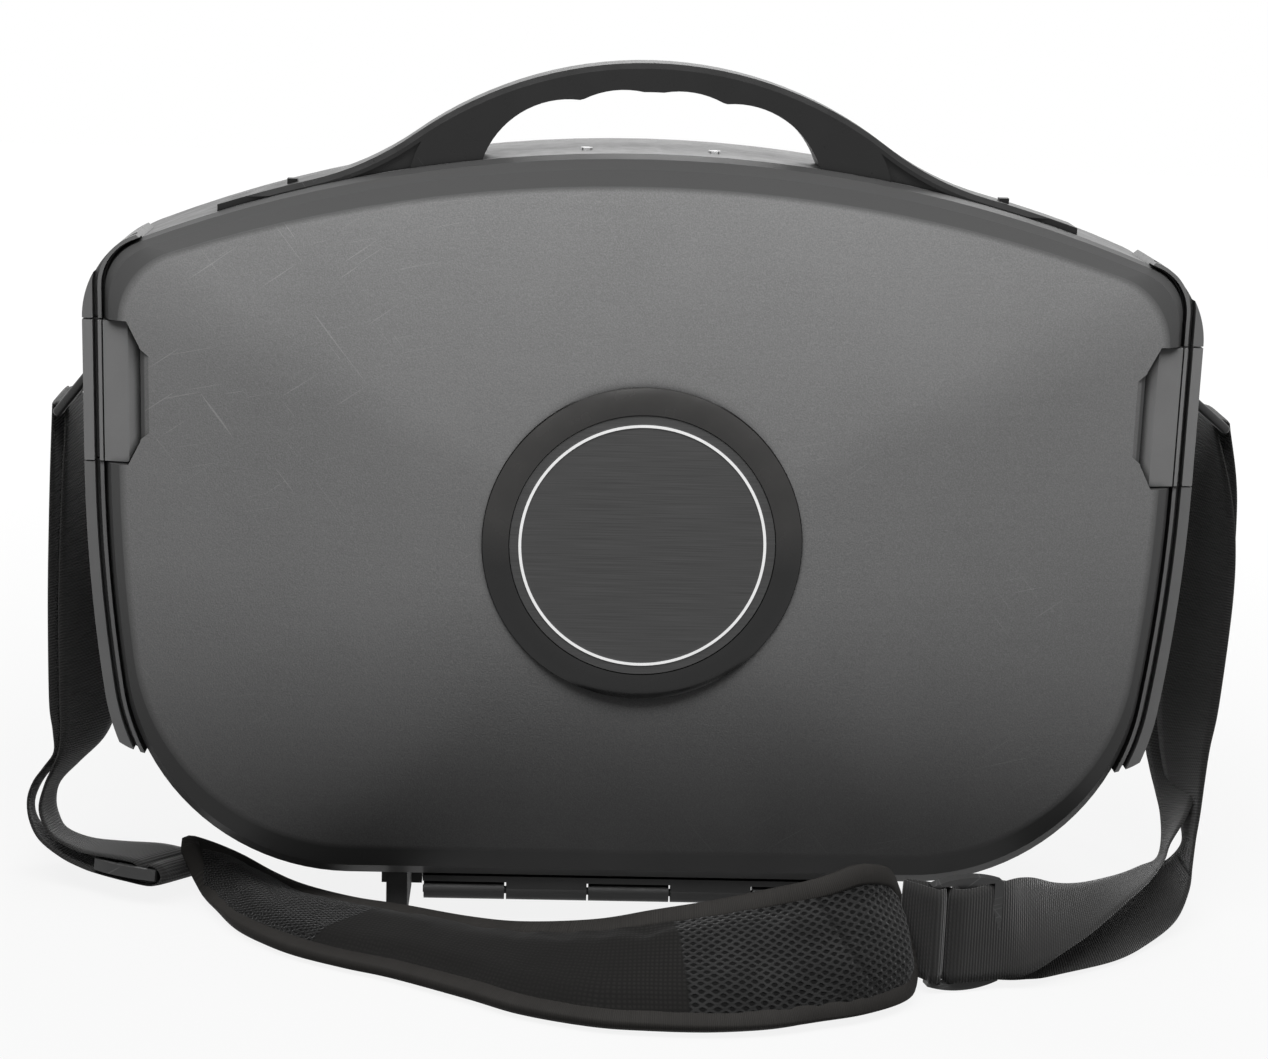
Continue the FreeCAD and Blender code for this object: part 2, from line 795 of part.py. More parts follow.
button_radius = named("button_radius")
button_pitch = named("button_pitch")
flange_radius = named("button_flange_radius")
flange_thick = named("button_flange_thick")
speaker_x = named("speaker_x")
speaker_half = named("speaker_wide") / 2
speaker_high = named("speaker_high")
grille_thick = named("grille_thick")
grille_edge = named("grille_edge")
jack_x = named("jack_x")
jack_radius = named("jack_radius")
jack_deep = named("jack_deep")
socket_x = named("socket_x")
socket_deep = named("socket_deep")
socket_floor = named("socket_floor")
socket_edge = named("socket_edge")
video_half = named("video_wide") / 2
video_rise = named("video_high") / 2
dc_bore = named("dc_bore")
row_z = derived("control_row_z", screen_z - panel_rise - named("row_gap") - speaker_high / 2)
speaker_low = row_z - speaker_high / 2
speaker_top = row_z + speaker_high / 2

BUTTONS = ("button_power", "button_menu", "button_volume_down", "button_volume_up")
button_holes = []
flange_y = bezel_front_y - fit - flange_thick
for index, name in enumerate(BUTTONS):
    x = button_pitch * (index - (len(BUTTONS) - 1) / 2)
    button_holes.append(rod(name + "_hole", "y", x, bezel_front_y - OVER, row_z, button_radius + fit, 2 * OVER))
    stem = rod(name + "_stem", "y", x, flange_y, row_z, button_radius,
               bezel_deep + fit + flange_thick + named("button_proud"))
    flange = rod(name + "_flange", "y", x, flange_y, row_z, flange_radius, flange_thick)
    node(name, fuse(name, [stem, flange]))

grille_hole = box("grille_hole", speaker_x - speaker_half, speaker_x + speaker_half, bezel_front_y - OVER,
                  bezel_back_y + OVER, speaker_low, speaker_top)
jack_hole = rod("jack_hole", "y", jack_x, bezel_front_y - OVER, row_z, jack_radius, 2 * OVER)
video_out = video_half + socket_edge
video_up = video_rise + socket_edge
video_hole = box("video_hole", -socket_x - video_out, -socket_x + video_out, bezel_front_y - OVER,
                 bezel_back_y + OVER, row_z - video_up, row_z + video_up)
dc_hole = rod("dc_hole", "y", socket_x, bezel_front_y - OVER, row_z, dc_bore + socket_edge, 2 * OVER)
bezel_holes = fuse("bezel_holes", button_holes + [
    screen_window, grille_hole, jack_hole, video_hole, dc_hole, bezel_clear,
    mirrored("grille_hole_left", grille_hole), mirrored("jack_hole_left", jack_hole),
    mirrored("bezel_clear_left", bezel_clear),
])
node("screen_bezel", cut("screen_bezel", cut("bezel_fitted", bezel_plate, lid_shell), bezel_holes))

grille_y = bezel_back_y - grille_thick
grille_plate = box("grille_plate", speaker_x - speaker_half, speaker_x + speaker_half, grille_y, bezel_back_y,
                   speaker_low, speaker_top)
SLOT_COUNT = 7
slots = []
slot_pitch = speaker_high / (SLOT_COUNT + 0.5)
for index in range(SLOT_COUNT):
    z = speaker_low + slot_pitch * (index + 0.5)
    slots.append(box("grille_slot_%d" % index, speaker_x - speaker_half + grille_edge,
                     speaker_x + speaker_half - grille_edge, grille_y - OVER, bezel_back_y + OVER,
                     z, z + slot_pitch / 2))
pair("speaker_grille", cut("speaker_grille", grille_plate, fuse("grille_slots", slots)))
speaker_y = grille_y - named("grille_gap")
pair("speaker", box("speaker", speaker_x - speaker_half, speaker_x + speaker_half,
                    speaker_y - named("speaker_deep"), speaker_y, speaker_low, speaker_top))
jack_body = rod("jack_body", "y", jack_x, bezel_back_y - jack_deep, row_z, jack_radius, jack_deep)
jack_hollow = rod("jack_hollow", "y", jack_x, bezel_back_y - jack_deep + socket_floor, row_z,
                  named("jack_bore"), jack_deep)
pair("headphone_jack", cut("headphone_jack", jack_body, jack_hollow))
socket_y = bezel_back_y - socket_deep
video_body = box("video_body", -socket_x - video_out, -socket_x + video_out, socket_y, bezel_back_y,
                 row_z - video_up, row_z + video_up)
video_hollow = box("video_hollow", -socket_x - video_half, -socket_x + video_half, socket_y + socket_floor,
                   bezel_back_y + OVER, row_z - video_rise, row_z + video_rise)
node("video_socket", cut("video_socket", video_body, video_hollow))
dc_body = rod("dc_body", "y", socket_x, socket_y, row_z, dc_bore + socket_edge, socket_deep)
dc_hollow = rod("dc_hollow", "y", socket_x, socket_y + socket_floor, row_z, dc_bore, socket_deep)
node("dc_socket", cut("dc_socket", dc_body, dc_hollow))

# Hinge under the seam, between the front feet

hinge_y = derived("hinge_y", seam_y)
hinge_z = derived("hinge_z", rim_bottom - named("hinge_drop"))
barrel_radius = named("barrel_radius")
hinge_pin_radius = named("hinge_pin_radius")
hinge_half = named("hinge_half")
leaf_thick = named("leaf_thick")
knuckle_gap = named("knuckle_gap")
KNUCKLES = 5
knuckle_pitch = hinge_half * 2 / KNUCKLES


def leaf(label, first, front, back, bore_radius):
    """Every other knuckle of the hinge, with the webs and the strip that carry them."""
    strip_z = hinge_z + barrel_radius + 2 * fit
    pieces = [box(label + "_strip", -hinge_half, hinge_half, front, back, strip_z, rim_bottom)]
    for index in range(first, KNUCKLES, 2):
        start = -hinge_half + knuckle_pitch * index + knuckle_gap
        length = knuckle_pitch - 2 * knuckle_gap
        pieces.append(rod("%s_barrel_%d" % (label, index), "x", start, hinge_y, hinge_z, barrel_radius, length))
        pieces.append(box("%s_web_%d" % (label, index), start, start + length, front, back,
                          hinge_z, rim_bottom))
    bore = rod(label + "_bore", "x", -hinge_half - OVER, hinge_y, hinge_z, bore_radius, (hinge_half + OVER) * 2)
    return cut(label, fuse(label + "_solid", pieces), bore)


base_leaf_back = derived("base_leaf_back", base_rim_y + leaf_thick)
node("hinge_base_leaf", leaf("hinge_base_leaf", 0, base_rim_y, base_leaf_back, hinge_pin_radius))
node("hinge_lid_leaf", leaf("hinge_lid_leaf", 1, lid_rim_y - leaf_thick, lid_rim_y, hinge_pin_radius + fit))
node("hinge_pin", rod("hinge_pin", "x", -hinge_half, hinge_y, hinge_z, hinge_pin_radius, hinge_half * 2))

# Feet under the base

foot_x = named("foot_x")
foot_half = named("foot_wide") / 2
rear_half = named("rear_foot_wide") / 2
foot_back_y = derived("foot_back_y", base_leaf_back + named("foot_deep"))
rear_foot_y = derived("rear_foot_y", foot_back_y + named("rear_foot_gap"))
pair("foot_front", box("foot_front", foot_x - foot_half, foot_x + foot_half, base_leaf_back, foot_back_y,
                       0, rim_bottom))
pair("foot_rear", box("foot_rear", foot_x - rear_half, foot_x + rear_half, rear_foot_y,
                      rear_foot_y + named("rear_foot_deep"), 0, rim_bottom))

# Carrying handle: tangent arcs from wing to crest, bevelled along the top

handle_top = derived("handle_top", rim_top + named("handle_rise"))
handle_bevel = named("handle_bevel")
crest = named("handle_crest")
sweep_round = named("handle_sweep")
wing_x = named("wing_x")
gap_half = named("finger_gap_half")
gap_corner = named("finger_gap_corner")
under_round = named("grip_under_round")
scallop_pitch = named("scallop_pitch")
scallop_deep = named("scallop_deep")

crest_z = derived("crest_z", handle_top - crest)
crest_far = crest_z - rim.arch_z
wing_arch = rim_arch + named("wing_thick")
join = crest + sweep_round
out = wing_arch + sweep_round
sweep_cos = derived("sweep_cos", (out * out - join * join - crest_far * crest_far) / (2 * crest_far * join))
sweep_sin = derived("sweep_sin", root(1 - sweep_cos * sweep_cos))
sweep_x = derived("sweep_x", sweep_sin * join)
sweep_z = derived("sweep_z", crest_z + sweep_cos * join)
under_z = derived("under_z", handle_top - named("grip_thick") - under_round)
under_reach = under_round - gap_corner
gap_corner_x = gap_half - gap_corner
gap_rise = root(under_reach * under_reach - gap_corner_x * gap_corner_x)
gap_corner_z = derived("gap_corner_z", under_z + gap_rise)
under_x = derived("under_x", gap_corner_x / under_reach * under_round)
under_end_z = derived("under_end_z", under_z + gap_rise / under_reach * under_round)
wing_low = derived("wing_low", arch_height(wing_x, rim_arch))
gap_low = derived("gap_low", arch_height(gap_half, rim_arch))


def handle_section(index, y, bevel):
    """The handle outline at one depth, its top edge drawn in by bevel."""
    wing = wing_arch - bevel
    sweep = sweep_round + bevel
    top = crest - bevel
    wing_high = arch_height(wing_x, wing)
    wing_join_x = sweep_x / out * wing
    wing_join_z = rim.arch_z + (sweep_z - rim.arch_z) / out * wing
    crest_join_x = sweep_sin * top
    crest_join_z = crest_z + sweep_cos * top
    path = [
        (-wing_x, wing_low, (rim_arch, False)),
        (-gap_half, gap_low, None),
        (-gap_half, gap_corner_z, (gap_corner, False)),
        (-under_x, under_end_z, (under_round, False)),
        (under_x, under_end_z, (gap_corner, False)),
        (gap_half, gap_corner_z, None),
        (gap_half, gap_low, (rim_arch, False)),
        (wing_x, wing_low, None),
        (wing_x, wing_high, (wing, True)),
        (wing_join_x, wing_join_z, (sweep, False)),
        (crest_join_x, crest_join_z, (top, True)),
        (-crest_join_x, crest_join_z, (sweep, False)),
        (-wing_join_x, wing_join_z, (wing, True)),
        (-wing_x, wing_high, None),
    ]
    return sketch("handle_section_%d" % index, "XZ", y, path)


handle_blank = loft("handle_blank", [
    handle_section(0, handle_front_y, handle_bevel),
    handle_section(1, handle_front_y + handle_bevel, as_size(0)),
    handle_section(2, handle_back_y - handle_bevel, as_size(0)),
    handle_section(3, handle_back_y, handle_bevel),
], True)

# Finger scallops under the grip

scallop_round = derived("scallop_round", scallop_pitch * scallop_pitch / (8 * scallop_deep))
handle_deep = handle_back_y - handle_front_y
scallops = []
for index in (-1.5, -0.5, 0.5, 1.5):
    x = scallop_pitch * index
    z = under_z + root(under_round * under_round - x * x) + scallop_deep * 0.7 - scallop_round
    scallops.append(rod("scallop_%d" % len(scallops), "y", x, handle_front_y - OVER, z, scallop_round,
                        handle_deep + 2 * OVER))

# Recessed wings beside the legs, and a small stop on each wing

step_deep = named("step_deep")
step_x = named("step_x")
nub_x = named("nub_x")
nub_half = named("nub_wide") / 2
step_path = [
    (step_x, rim_top - 2 * OVER, None),
    (wing_x + OVER, rim_top - 2 * OVER, None),
    (wing_x + OVER, handle_top, None),
    (named("step_top_x"), handle_top - named("grip_thick") * 1.5, (named("step_round"), False)),
    (step_x, rim_top - OVER, None),
]
step_zone = slab("step_zone", step_path, handle_front_y - OVER, handle_front_y + step_deep)
step_rim = rod("step_rim", "y", sweep_x, handle_front_y - 2 * OVER, sweep_z,
               sweep_round + named("step_edge"), 4 * OVER)
step_right = cut("step_right", step_zone, step_rim)
handle_cuts = fuse("handle_cuts", scallops + [step_right, mirrored("step_left", step_right)])
nub_z = arch_height(nub_x, wing_arch)
nub_y = (handle_front_y + handle_back_y) / 2
nub = box("nub", nub_x - nub_half, nub_x + nub_half, nub_y - nub_half, nub_y + nub_half,
          nub_z - nub_half, nub_z + named("nub_high"))
handle_cut = cut("handle_cut", handle_blank, handle_cuts)
nub_clear = cut("nub_clear", nub, rim_core)
node("handle", fuse("handle", [handle_cut, nub_clear, mirrored("nub_left", nub_clear)]))

# Strap rings on side brackets; each ring rests at its own lean

ring_wide = named("strap_ring_wide")
ring_length = named("strap_ring_length")
wire = named("strap_wire_radius")
bracket_half = named("bracket_wide") / 2
ring_pivot_x = derived("strap_pivot_x", half_width + named("strap_pivot_out"))
ring_pivot_z = derived("strap_pivot_z", latch_low + named("strap_pivot_up"))
ring_front_y = derived("strap_ring_front_y", rail_back_y + named("strap_ring_gap"))
ring_mid_y = derived("ring_mid_y", ring_front_y + ring_wide / 2)


def strap_ring(label, reach):
    """A bent wire loop: two bars, two leaning sides and rounded corners."""
    drop = root(ring_length * ring_length - reach * reach)
    lean = math.degrees(math.atan2(reach.value, -drop.value))
    ends = ((ring_pivot_x, ring_pivot_z), (ring_pivot_x + reach, ring_pivot_z - drop))
    parts = []
    for spot, (x, z) in enumerate(ends):
        parts.append(rod("%s_bar_%d" % (label, spot), "y", x, ring_front_y, z, wire, ring_wide))
    for index, y in enumerate((ring_front_y, ring_front_y + ring_wide)):
        side = doc.addObject("Part::Cylinder", "%s_side_%d" % (label, index))
        side.Placement = Placement(Vector(0, 0, 0), Rotation(Vector(0, 1, 0), lean))
        bind(side, "Radius", wire)
        bind(side, "Height", ring_length)
        parts.append(place(side, ring_pivot_x, y, ring_pivot_z))
        for spot, (x, z) in enumerate(ends):
            ball = doc.addObject("Part::Sphere", "%s_ball_%d_%d" % (label, index, spot))
            bind(ball, "Radius", wire)
            parts.append(place(ball, x, y, z))
    return fuse(label, parts)


node("strap_ring_right", strap_ring("strap_ring_right", named("strap_reach_right")))
node("strap_ring_left", mirrored("strap_ring_left", strap_ring("strap_ring_twin", named("strap_reach_left"))))
bracket_round = derived("bracket_round", wire + named("bracket_edge"))
bracket_path = [
    (half_width, ring_pivot_z - bracket_round, None),
    (ring_pivot_x, ring_pivot_z - bracket_round, (bracket_round, True)),
    (ring_pivot_x + bracket_round, ring_pivot_z, (bracket_round, True)),
    (ring_pivot_x, ring_pivot_z + bracket_round, None),
    (half_width, ring_pivot_z + bracket_round, None),
]
bracket_block = slab("bracket_block", bracket_path, ring_mid_y - bracket_half, ring_mid_y + bracket_half)
bracket_bore = rod("bracket_bore", "y", ring_pivot_x, ring_front_y - OVER, ring_pivot_z, wire + fit,
                   ring_wide + 2 * OVER)
pair("ring_bracket", cut("ring_bracket", bracket_block, bracket_bore))

# Shoulder strap lying on the floor: soft pieces whose course follows the photographed drape

web_wide = named("web_wide")
web_thick = named("web_thick")
pad_thick = named("pad_thick")
slider_long = named("slider_long")
slider_wide = named("slider_wide")
slider_thick = named("slider_thick")
slider_bulge = named("slider_bulge")
slider_bow = derived("slider_bow", (slider_long * slider_long / 4 + slider_bulge * slider_bulge) / (2 * slider_bulge))


def soft_band(label, stations, thick):
    """A solid through cross sections, each given by its two edge points."""
    middles = [near.add(far).multiply(0.5) for near, far in stations]
    wires = []
    for index, (near, far) in enumerate(stations):
        before = middles[max(index - 1, 0)]
        after = middles[min(index + 1, len(middles) - 1)]
        across = far.sub(near).normalize()
        normal = after.sub(before).cross(across).normalize().multiply(thick / 2)
        ring = [near.add(normal), far.add(normal), far.sub(normal), near.sub(normal)]
        wires.append(Part.makePolygon(ring + ring[:1]))
    item = doc.addObject("Part::Feature", label)
    item.Shape = Part.makeLoft(wires, True, True)
    return node(label, item)


def web_station(x, y, z, across):
    middle = Vector(x, y, z)
    half = Vector(*across).normalize().multiply(web_wide.value / 2)
    return middle.sub(half), middle.add(half)


RIGHT_WEB = (
    (184.6, -114.6, 27.0, (0.0, 0.0, 1.0)),
    (215.0, -103.0, 27.5, (0.0, 0.1, 1.0)),
    (245.0, -84.0, 28.0, (-0.1, 0.25, 0.95)),
    (272.0, -48.0, 30.0, (-0.2, 0.45, 0.85)),
    (297.0, -6.0, 44.0, (-0.25, 0.65, 0.7)),
    (303.0, 18.0, 76.0, (-0.4, 0.85, 0.3)),
    (305.0, 27.0, 110.0, (-0.5, 0.85, 0.0)),
    (306.0, 28.0, 172.0, (-0.5, 0.86, 0.0)),
    (307.5, 28.0, 263.8, (0.0, 1.0, 0.0)),
)
LEFT_WEB = (
    (-273.8, 7.2, 12.0, (-0.42, -0.9, 0.1)),
    (-286.0, 12.0, 10.5, (-0.4, -0.91, 0.1)),
    (-300.0, 17.0, 12.0, (-0.25, -0.96, 0.05)),
    (-314.0, 20.5, 24.0, (-0.1, -0.99, 0.0)),
    (-320.0, 21.0, 44.0, (0.0, -1.0, 0.0)),
    (-308.0, 22.0, 66.0, (-0.2, -0.98, 0.0)),
    (-296.0, 22.0, 94.0, (-0.45, -0.9, 0.0)),
    (-294.0, 24.0, 150.0, (-0.5, -0.87, 0.0)),
    (-297.5, 26.0, 205.0, (-0.25, -0.97, 0.0)),
    (-301.5, 28.0, 257.9, (0.0, -1.0, 0.0)),
)
PAD = (
    ((-228.0, -16.0, 6.0), (-243.0, 4.0, 28.0)),
    ((-203.0, -50.0, 6.0), (-212.0, 0.0, 24.0)),
    ((-168.0, -85.0, 6.0), (-178.0, -22.0, 19.0)),
    ((-142.0, -103.0, 6.0), (-148.0, -41.0, 15.0)),
    ((-100.0, -126.0, 6.0), (-104.0, -62.0, 19.0)),
    ((-50.0, -154.0, 6.0), (-52.0, -87.0, 29.0)),
    ((3.0, -173.0, 6.0), (2.0, -108.0, 38.0)),
    ((56.0, -173.0, 6.0), (58.0, -118.0, 51.0)),
    ((91.0, -163.0, 6.0), (95.0, -122.0, 60.0)),
    ((123.0, -143.0, 7.0), (124.0, -113.0, 62.0)),
    ((145.0, -127.0, 16.0), (144.5, -113.0, 52.0)),
)
soft_band("strap_webbing_right", [web_station(*station) for station in RIGHT_WEB], web_thick.value)
soft_band("strap_webbing_left", [web_station(*station) for station in LEFT_WEB], web_thick.value)
soft_band("shoulder_pad", [(Vector(*near), Vector(*far)) for near, far in PAD], pad_thick.value)


def slider(label, x, y, z, turn):
    """A two-slot strap slider, centred on a point and turned to lie with the webbing."""
    side = slider_wide / 2 - slider_bulge
    outline = [
        (-slider_long / 2, -1.0 * side, (slider_bow, True)),
        (slider_long / 2, -1.0 * side, None),
        (slider_long / 2, side, (slider_bow, True)),
        (-slider_long / 2, side, None),
    ]
    frame = slab(label + "_frame", outline, -slider_thick / 2, slider_thick / 2)
    openings = []
    for part in (-1, 1):
        middle = slider_long / 4 * part
        openings.append(box("%s_slot_%d" % (label, part), middle - slider_long / 8, middle + slider_long / 8,
                            -slider_thick, slider_thick, -web_wide / 2 - 1, web_wide / 2 + 1))
    item = cut(label, frame, fuse(label + "_slots", openings))
    item.Placement = Placement(Vector(x, y, z), turn)
    return node(label, item)


slider("strap_slider_right", 165.5, -119.5, 30.5, Rotation(Vector(0, 0, 1), 14))
slider("strap_slider_left", -256.0, -1.0, 14.0, Rotation(-25, 0, 80))

# Console bay: a soft mat on the back wall and two holding straps

mat_thick = named("mat_thick")
mat_half = half_width - named("mat_side")
mat_low = rim_bottom + named("mat_below")
mat_high = rim_top - named("mat_above")
bay_y = derived("bay_y", back_y - wall)
mat_y = derived("mat_y", bay_y - mat_thick)
node("bay_mat", box("bay_mat", -mat_half, mat_half, mat_y, bay_y, mat_low, mat_high))
hold_x = named("hold_strap_x")
hold_half = named("hold_strap_wide") / 2
hold_end = named("hold_strap_end")
pair("console_strap", box("console_strap", hold_x - hold_half, hold_x + hold_half,
                          mat_y - named("hold_strap_thick"), mat_y, mat_low + hold_end, mat_high - hold_end))

doc.recompute()
for item in doc.Objects:
    state = set(item.State)
    if "Invalid" in state or "Error" in state:
        raise RuntimeError("%s does not compute: %s" % (item.Name, item.State))

os.makedirs("parts", exist_ok=True)
for item in nodes:
    shape = item.Shape
    if shape.isNull() or not shape.isValid() or len(shape.Solids) != 1:
        raise RuntimeError("%s: solids %d, valid %s" % (item.Label, len(shape.Solids), shape.isValid()))
    shape.exportStep("parts/%s.step" % item.Label)
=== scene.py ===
import math

import bmesh
import bpy
import numpy as np
from mathutils import Matrix, Vector


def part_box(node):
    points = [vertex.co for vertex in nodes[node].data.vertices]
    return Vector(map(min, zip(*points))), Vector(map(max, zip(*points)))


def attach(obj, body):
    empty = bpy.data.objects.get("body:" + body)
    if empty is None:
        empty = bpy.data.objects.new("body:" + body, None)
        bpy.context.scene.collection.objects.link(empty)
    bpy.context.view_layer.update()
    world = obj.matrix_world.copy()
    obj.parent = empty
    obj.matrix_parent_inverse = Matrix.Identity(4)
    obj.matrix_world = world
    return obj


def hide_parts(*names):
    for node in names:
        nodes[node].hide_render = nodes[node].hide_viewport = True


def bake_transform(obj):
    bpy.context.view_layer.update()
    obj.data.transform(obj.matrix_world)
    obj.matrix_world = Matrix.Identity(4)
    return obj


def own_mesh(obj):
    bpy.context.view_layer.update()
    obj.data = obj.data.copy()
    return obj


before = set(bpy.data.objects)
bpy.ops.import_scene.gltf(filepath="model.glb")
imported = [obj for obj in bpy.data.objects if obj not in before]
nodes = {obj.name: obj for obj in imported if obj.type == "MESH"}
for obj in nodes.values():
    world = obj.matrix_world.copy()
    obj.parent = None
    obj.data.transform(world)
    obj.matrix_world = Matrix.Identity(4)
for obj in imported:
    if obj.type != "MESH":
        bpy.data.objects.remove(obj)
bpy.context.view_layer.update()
scene = bpy.context.scene
scene.view_settings.view_transform = "Standard"
MM = 0.001


# Camera at the photograph's viewing angle

CAMERA_AT = Vector((-0.0526, -1.3470, 0.5324))
YAW = math.radians(2.177)
PITCH = math.radians(-13.656)
ROLL = math.radians(1.848)
SENSOR = 36.0
LENS = 74.76


def add_camera():
    forward = Vector((math.sin(YAW) * math.cos(PITCH), math.cos(YAW) * math.cos(PITCH), math.sin(PITCH)))
    level = Vector((math.cos(YAW), -math.sin(YAW), 0))
    upright = level.cross(forward)
    right = level * math.cos(ROLL) + upright * math.sin(ROLL)
    up = upright * math.cos(ROLL) - level * math.sin(ROLL)
    data = bpy.data.cameras.new("camera")
    data.sensor_width = SENSOR
    data.sensor_fit = "HORIZONTAL"
    data.lens = LENS
    camera = bpy.data.objects.new("camera", data)
    turn = Matrix((right, up, -forward)).transposed().to_4x4()
    camera.matrix_world = Matrix.Translation(CAMERA_AT) @ turn
    scene.collection.objects.link(camera)
    scene.camera = camera


add_camera()


# A procedural material under construction

MIX_FIRST, MIX_SECOND, MIX_OUT = 6, 7, 2
# Painted shade in narrow gaps: its tone, the occlusion samples, and the occlusion range over which it
# fades in.
GAP_SHADE_TONE = 0.003
GAP_SAMPLES = 6
GAP_CLOSED = 0.35
GAP_OPEN = 0.92


def grey(value, warm=0.0):
    return (value * (1 + warm), value, value * (1 - warm))


def map_range(tree, source, low, high, first, last):
    """Maps low..high to first..last, clamped."""
    node = tree.nodes.new("ShaderNodeMapRange")
    tree.links.new(source, node.inputs["Value"])
    for socket, value in (("From Min", low), ("From Max", high), ("To Min", first), ("To Max", last)):
        node.inputs[socket].default_value = value
    return node.outputs["Result"]


class Paint:
    def __init__(self, name, colour, roughness, metallic=0.0, specular=0.5):
        self.material = bpy.data.materials.new(name)
        self.material.use_nodes = True
        self.tree = self.material.node_tree
        self.shader = self.tree.nodes["Principled BSDF"]
        self.set("Base Color", (*colour, 1.0))
        self.set("Roughness", roughness)
        self.set("Metallic", metallic)
        self.set("Specular IOR Level", specular)
        texture = self.tree.nodes.new("ShaderNodeTexCoord")
        self.place = texture.outputs["Object"]
        self.cloth_place = texture.outputs["UV"]
        self.last_bump = None

    def set(self, socket, value):
        self.shader.inputs[socket].default_value = value

    def feed(self, node, socket, value):
        """Links a socket, or sets it when the value is plain."""
        if isinstance(value, bpy.types.NodeSocket):
            self.tree.links.new(value, node.inputs[socket])
        else:
            node.inputs[socket].default_value = value

    def moved(self, source, stretch, turn=(0, 0, 0)):
        """Coordinates turned, then stretched by a factor on each axis."""
        turned = self.tree.nodes.new("ShaderNodeMapping")
        turned.inputs["Rotation"].default_value = [math.radians(angle) for angle in turn]
        self.tree.links.new(source, turned.inputs["Vector"])
        scaled = self.tree.nodes.new("ShaderNodeMapping")
        scaled.inputs["Scale"].default_value = stretch
        self.tree.links.new(turned.outputs["Vector"], scaled.inputs["Vector"])
        return scaled.outputs["Vector"]

    def noise(self, scale, detail=2.0, place=None):
        node = self.tree.nodes.new("ShaderNodeTexNoise")
        node.inputs["Scale"].default_value = scale
        node.inputs["Detail"].default_value = detail
        self.tree.links.new(place or self.place, node.inputs["Vector"])
        return node.outputs["Fac"]

    def cells(self, scale, feature="F1"):
        node = self.tree.nodes.new("ShaderNodeTexVoronoi")
        node.feature = feature
        node.inputs["Scale"].default_value = scale
        self.tree.links.new(self.place, node.inputs["Vector"])
        return node.outputs["Distance"]

    def bands(self, pitch, direction, place):
        """Even ripples, one for each pitch in metres."""
        node = self.tree.nodes.new("ShaderNodeTexWave")
        node.bands_direction = direction
        node.inputs["Scale"].default_value = math.pi / 10 / pitch
        self.tree.links.new(place, node.inputs["Vector"])
        return node.outputs["Fac"]

    def axis(self, name, place=None):
        node = self.tree.nodes.new("ShaderNodeSeparateXYZ")
        self.tree.links.new(place or self.place, node.inputs["Vector"])
        return node.outputs[name]

    def spread(self, source, low, high, first=0.0, last=1.0):
        return map_range(self.tree, source, low, high, first, last)

    def math(self, operation, first, second):
        node = self.tree.nodes.new("ShaderNodeMath")
        node.operation = operation
        self.feed(node, 0, first)
        self.feed(node, 1, second)
        return node.outputs["Value"]

    def mixed(self, factor, first, second):
        node = self.tree.nodes.new("ShaderNodeMix")
        node.data_type = "RGBA"
        self.feed(node, "Factor", factor)
        for index, value in ((MIX_FIRST, first), (MIX_SECOND, second)):
            if isinstance(value, bpy.types.NodeSocket):
                self.tree.links.new(value, node.inputs[index])
            else:
                node.inputs[index].default_value = (*value, 1.0)
        return node.outputs[MIX_OUT]

    def shaded_in_gaps(self, source, reach, least):
        """Painted shade: the colour darkened toward near black in narrow gaps and where parts meet, where
        ambient occlusion finds them.
        """
        gap = self.tree.nodes.new("ShaderNodeAmbientOcclusion")
        gap.samples = GAP_SAMPLES
        gap.inputs["Distance"].default_value = reach
        kept = self.spread(gap.outputs["AO"], GAP_CLOSED, GAP_OPEN, least, 1.0)
        return self.mixed(kept, grey(GAP_SHADE_TONE), source)

    def colour(self, source):
        self.tree.links.new(source, self.shader.inputs["Base Color"])

    def rough(self, source):
        self.tree.links.new(source, self.shader.inputs["Roughness"])

    def bump(self, height, strength, distance):
        node = self.tree.nodes.new("ShaderNodeBump")
        node.inputs["Strength"].default_value = strength
        node.inputs["Distance"].default_value = distance
        self.tree.links.new(height, node.inputs["Height"])
        if self.last_bump is not None:
            self.tree.links.new(self.last_bump, node.inputs["Normal"])
        self.last_bump = node.outputs["Normal"]
        self.tree.links.new(self.last_bump, self.shader.inputs["Normal"])


SCRATCH_TURNS = ((0, 35, 0), (0, -52, 0), (0, 12, 0))
SCRATCH_EDGE = 0.02
WORN_FROM = 0.54
WORN_FULL = 0.70


def scratches(paint, length_scale, width_scale, rarity):
    """Sparse thin marks in a few directions, from stretched noise."""
    total = None
    for turn in SCRATCH_TURNS:
        place = paint.moved(paint.place, (length_scale, 1.0, width_scale), turn)
        mark = paint.spread(paint.noise(1.0, 1.0, place), rarity, rarity + SCRATCH_EDGE)
        total = mark if total is None else paint.math("MAXIMUM", total, mark)
    worn = paint.spread(paint.noise(9.0, 2.0), WORN_FROM, WORN_FULL)
    return paint.math("MULTIPLY", total, worn)


# Moulded plastics

FACE_EDGE_Y = -0.0580
TURN_FROM_Z = 0.20
TURN_DEPTH = 0.9
# The rolled edge has its own darker tone, and between these heights it is painted darker still toward the
# top as painted shade.
RIM_SHADE_LOW_Z = 0.30
RIM_SHADE_HIGH_Z = 0.40
RIM_LOW_SHADE_SHARE = 0.50
RIM_HIGH_SHADE_SHARE = 0.30


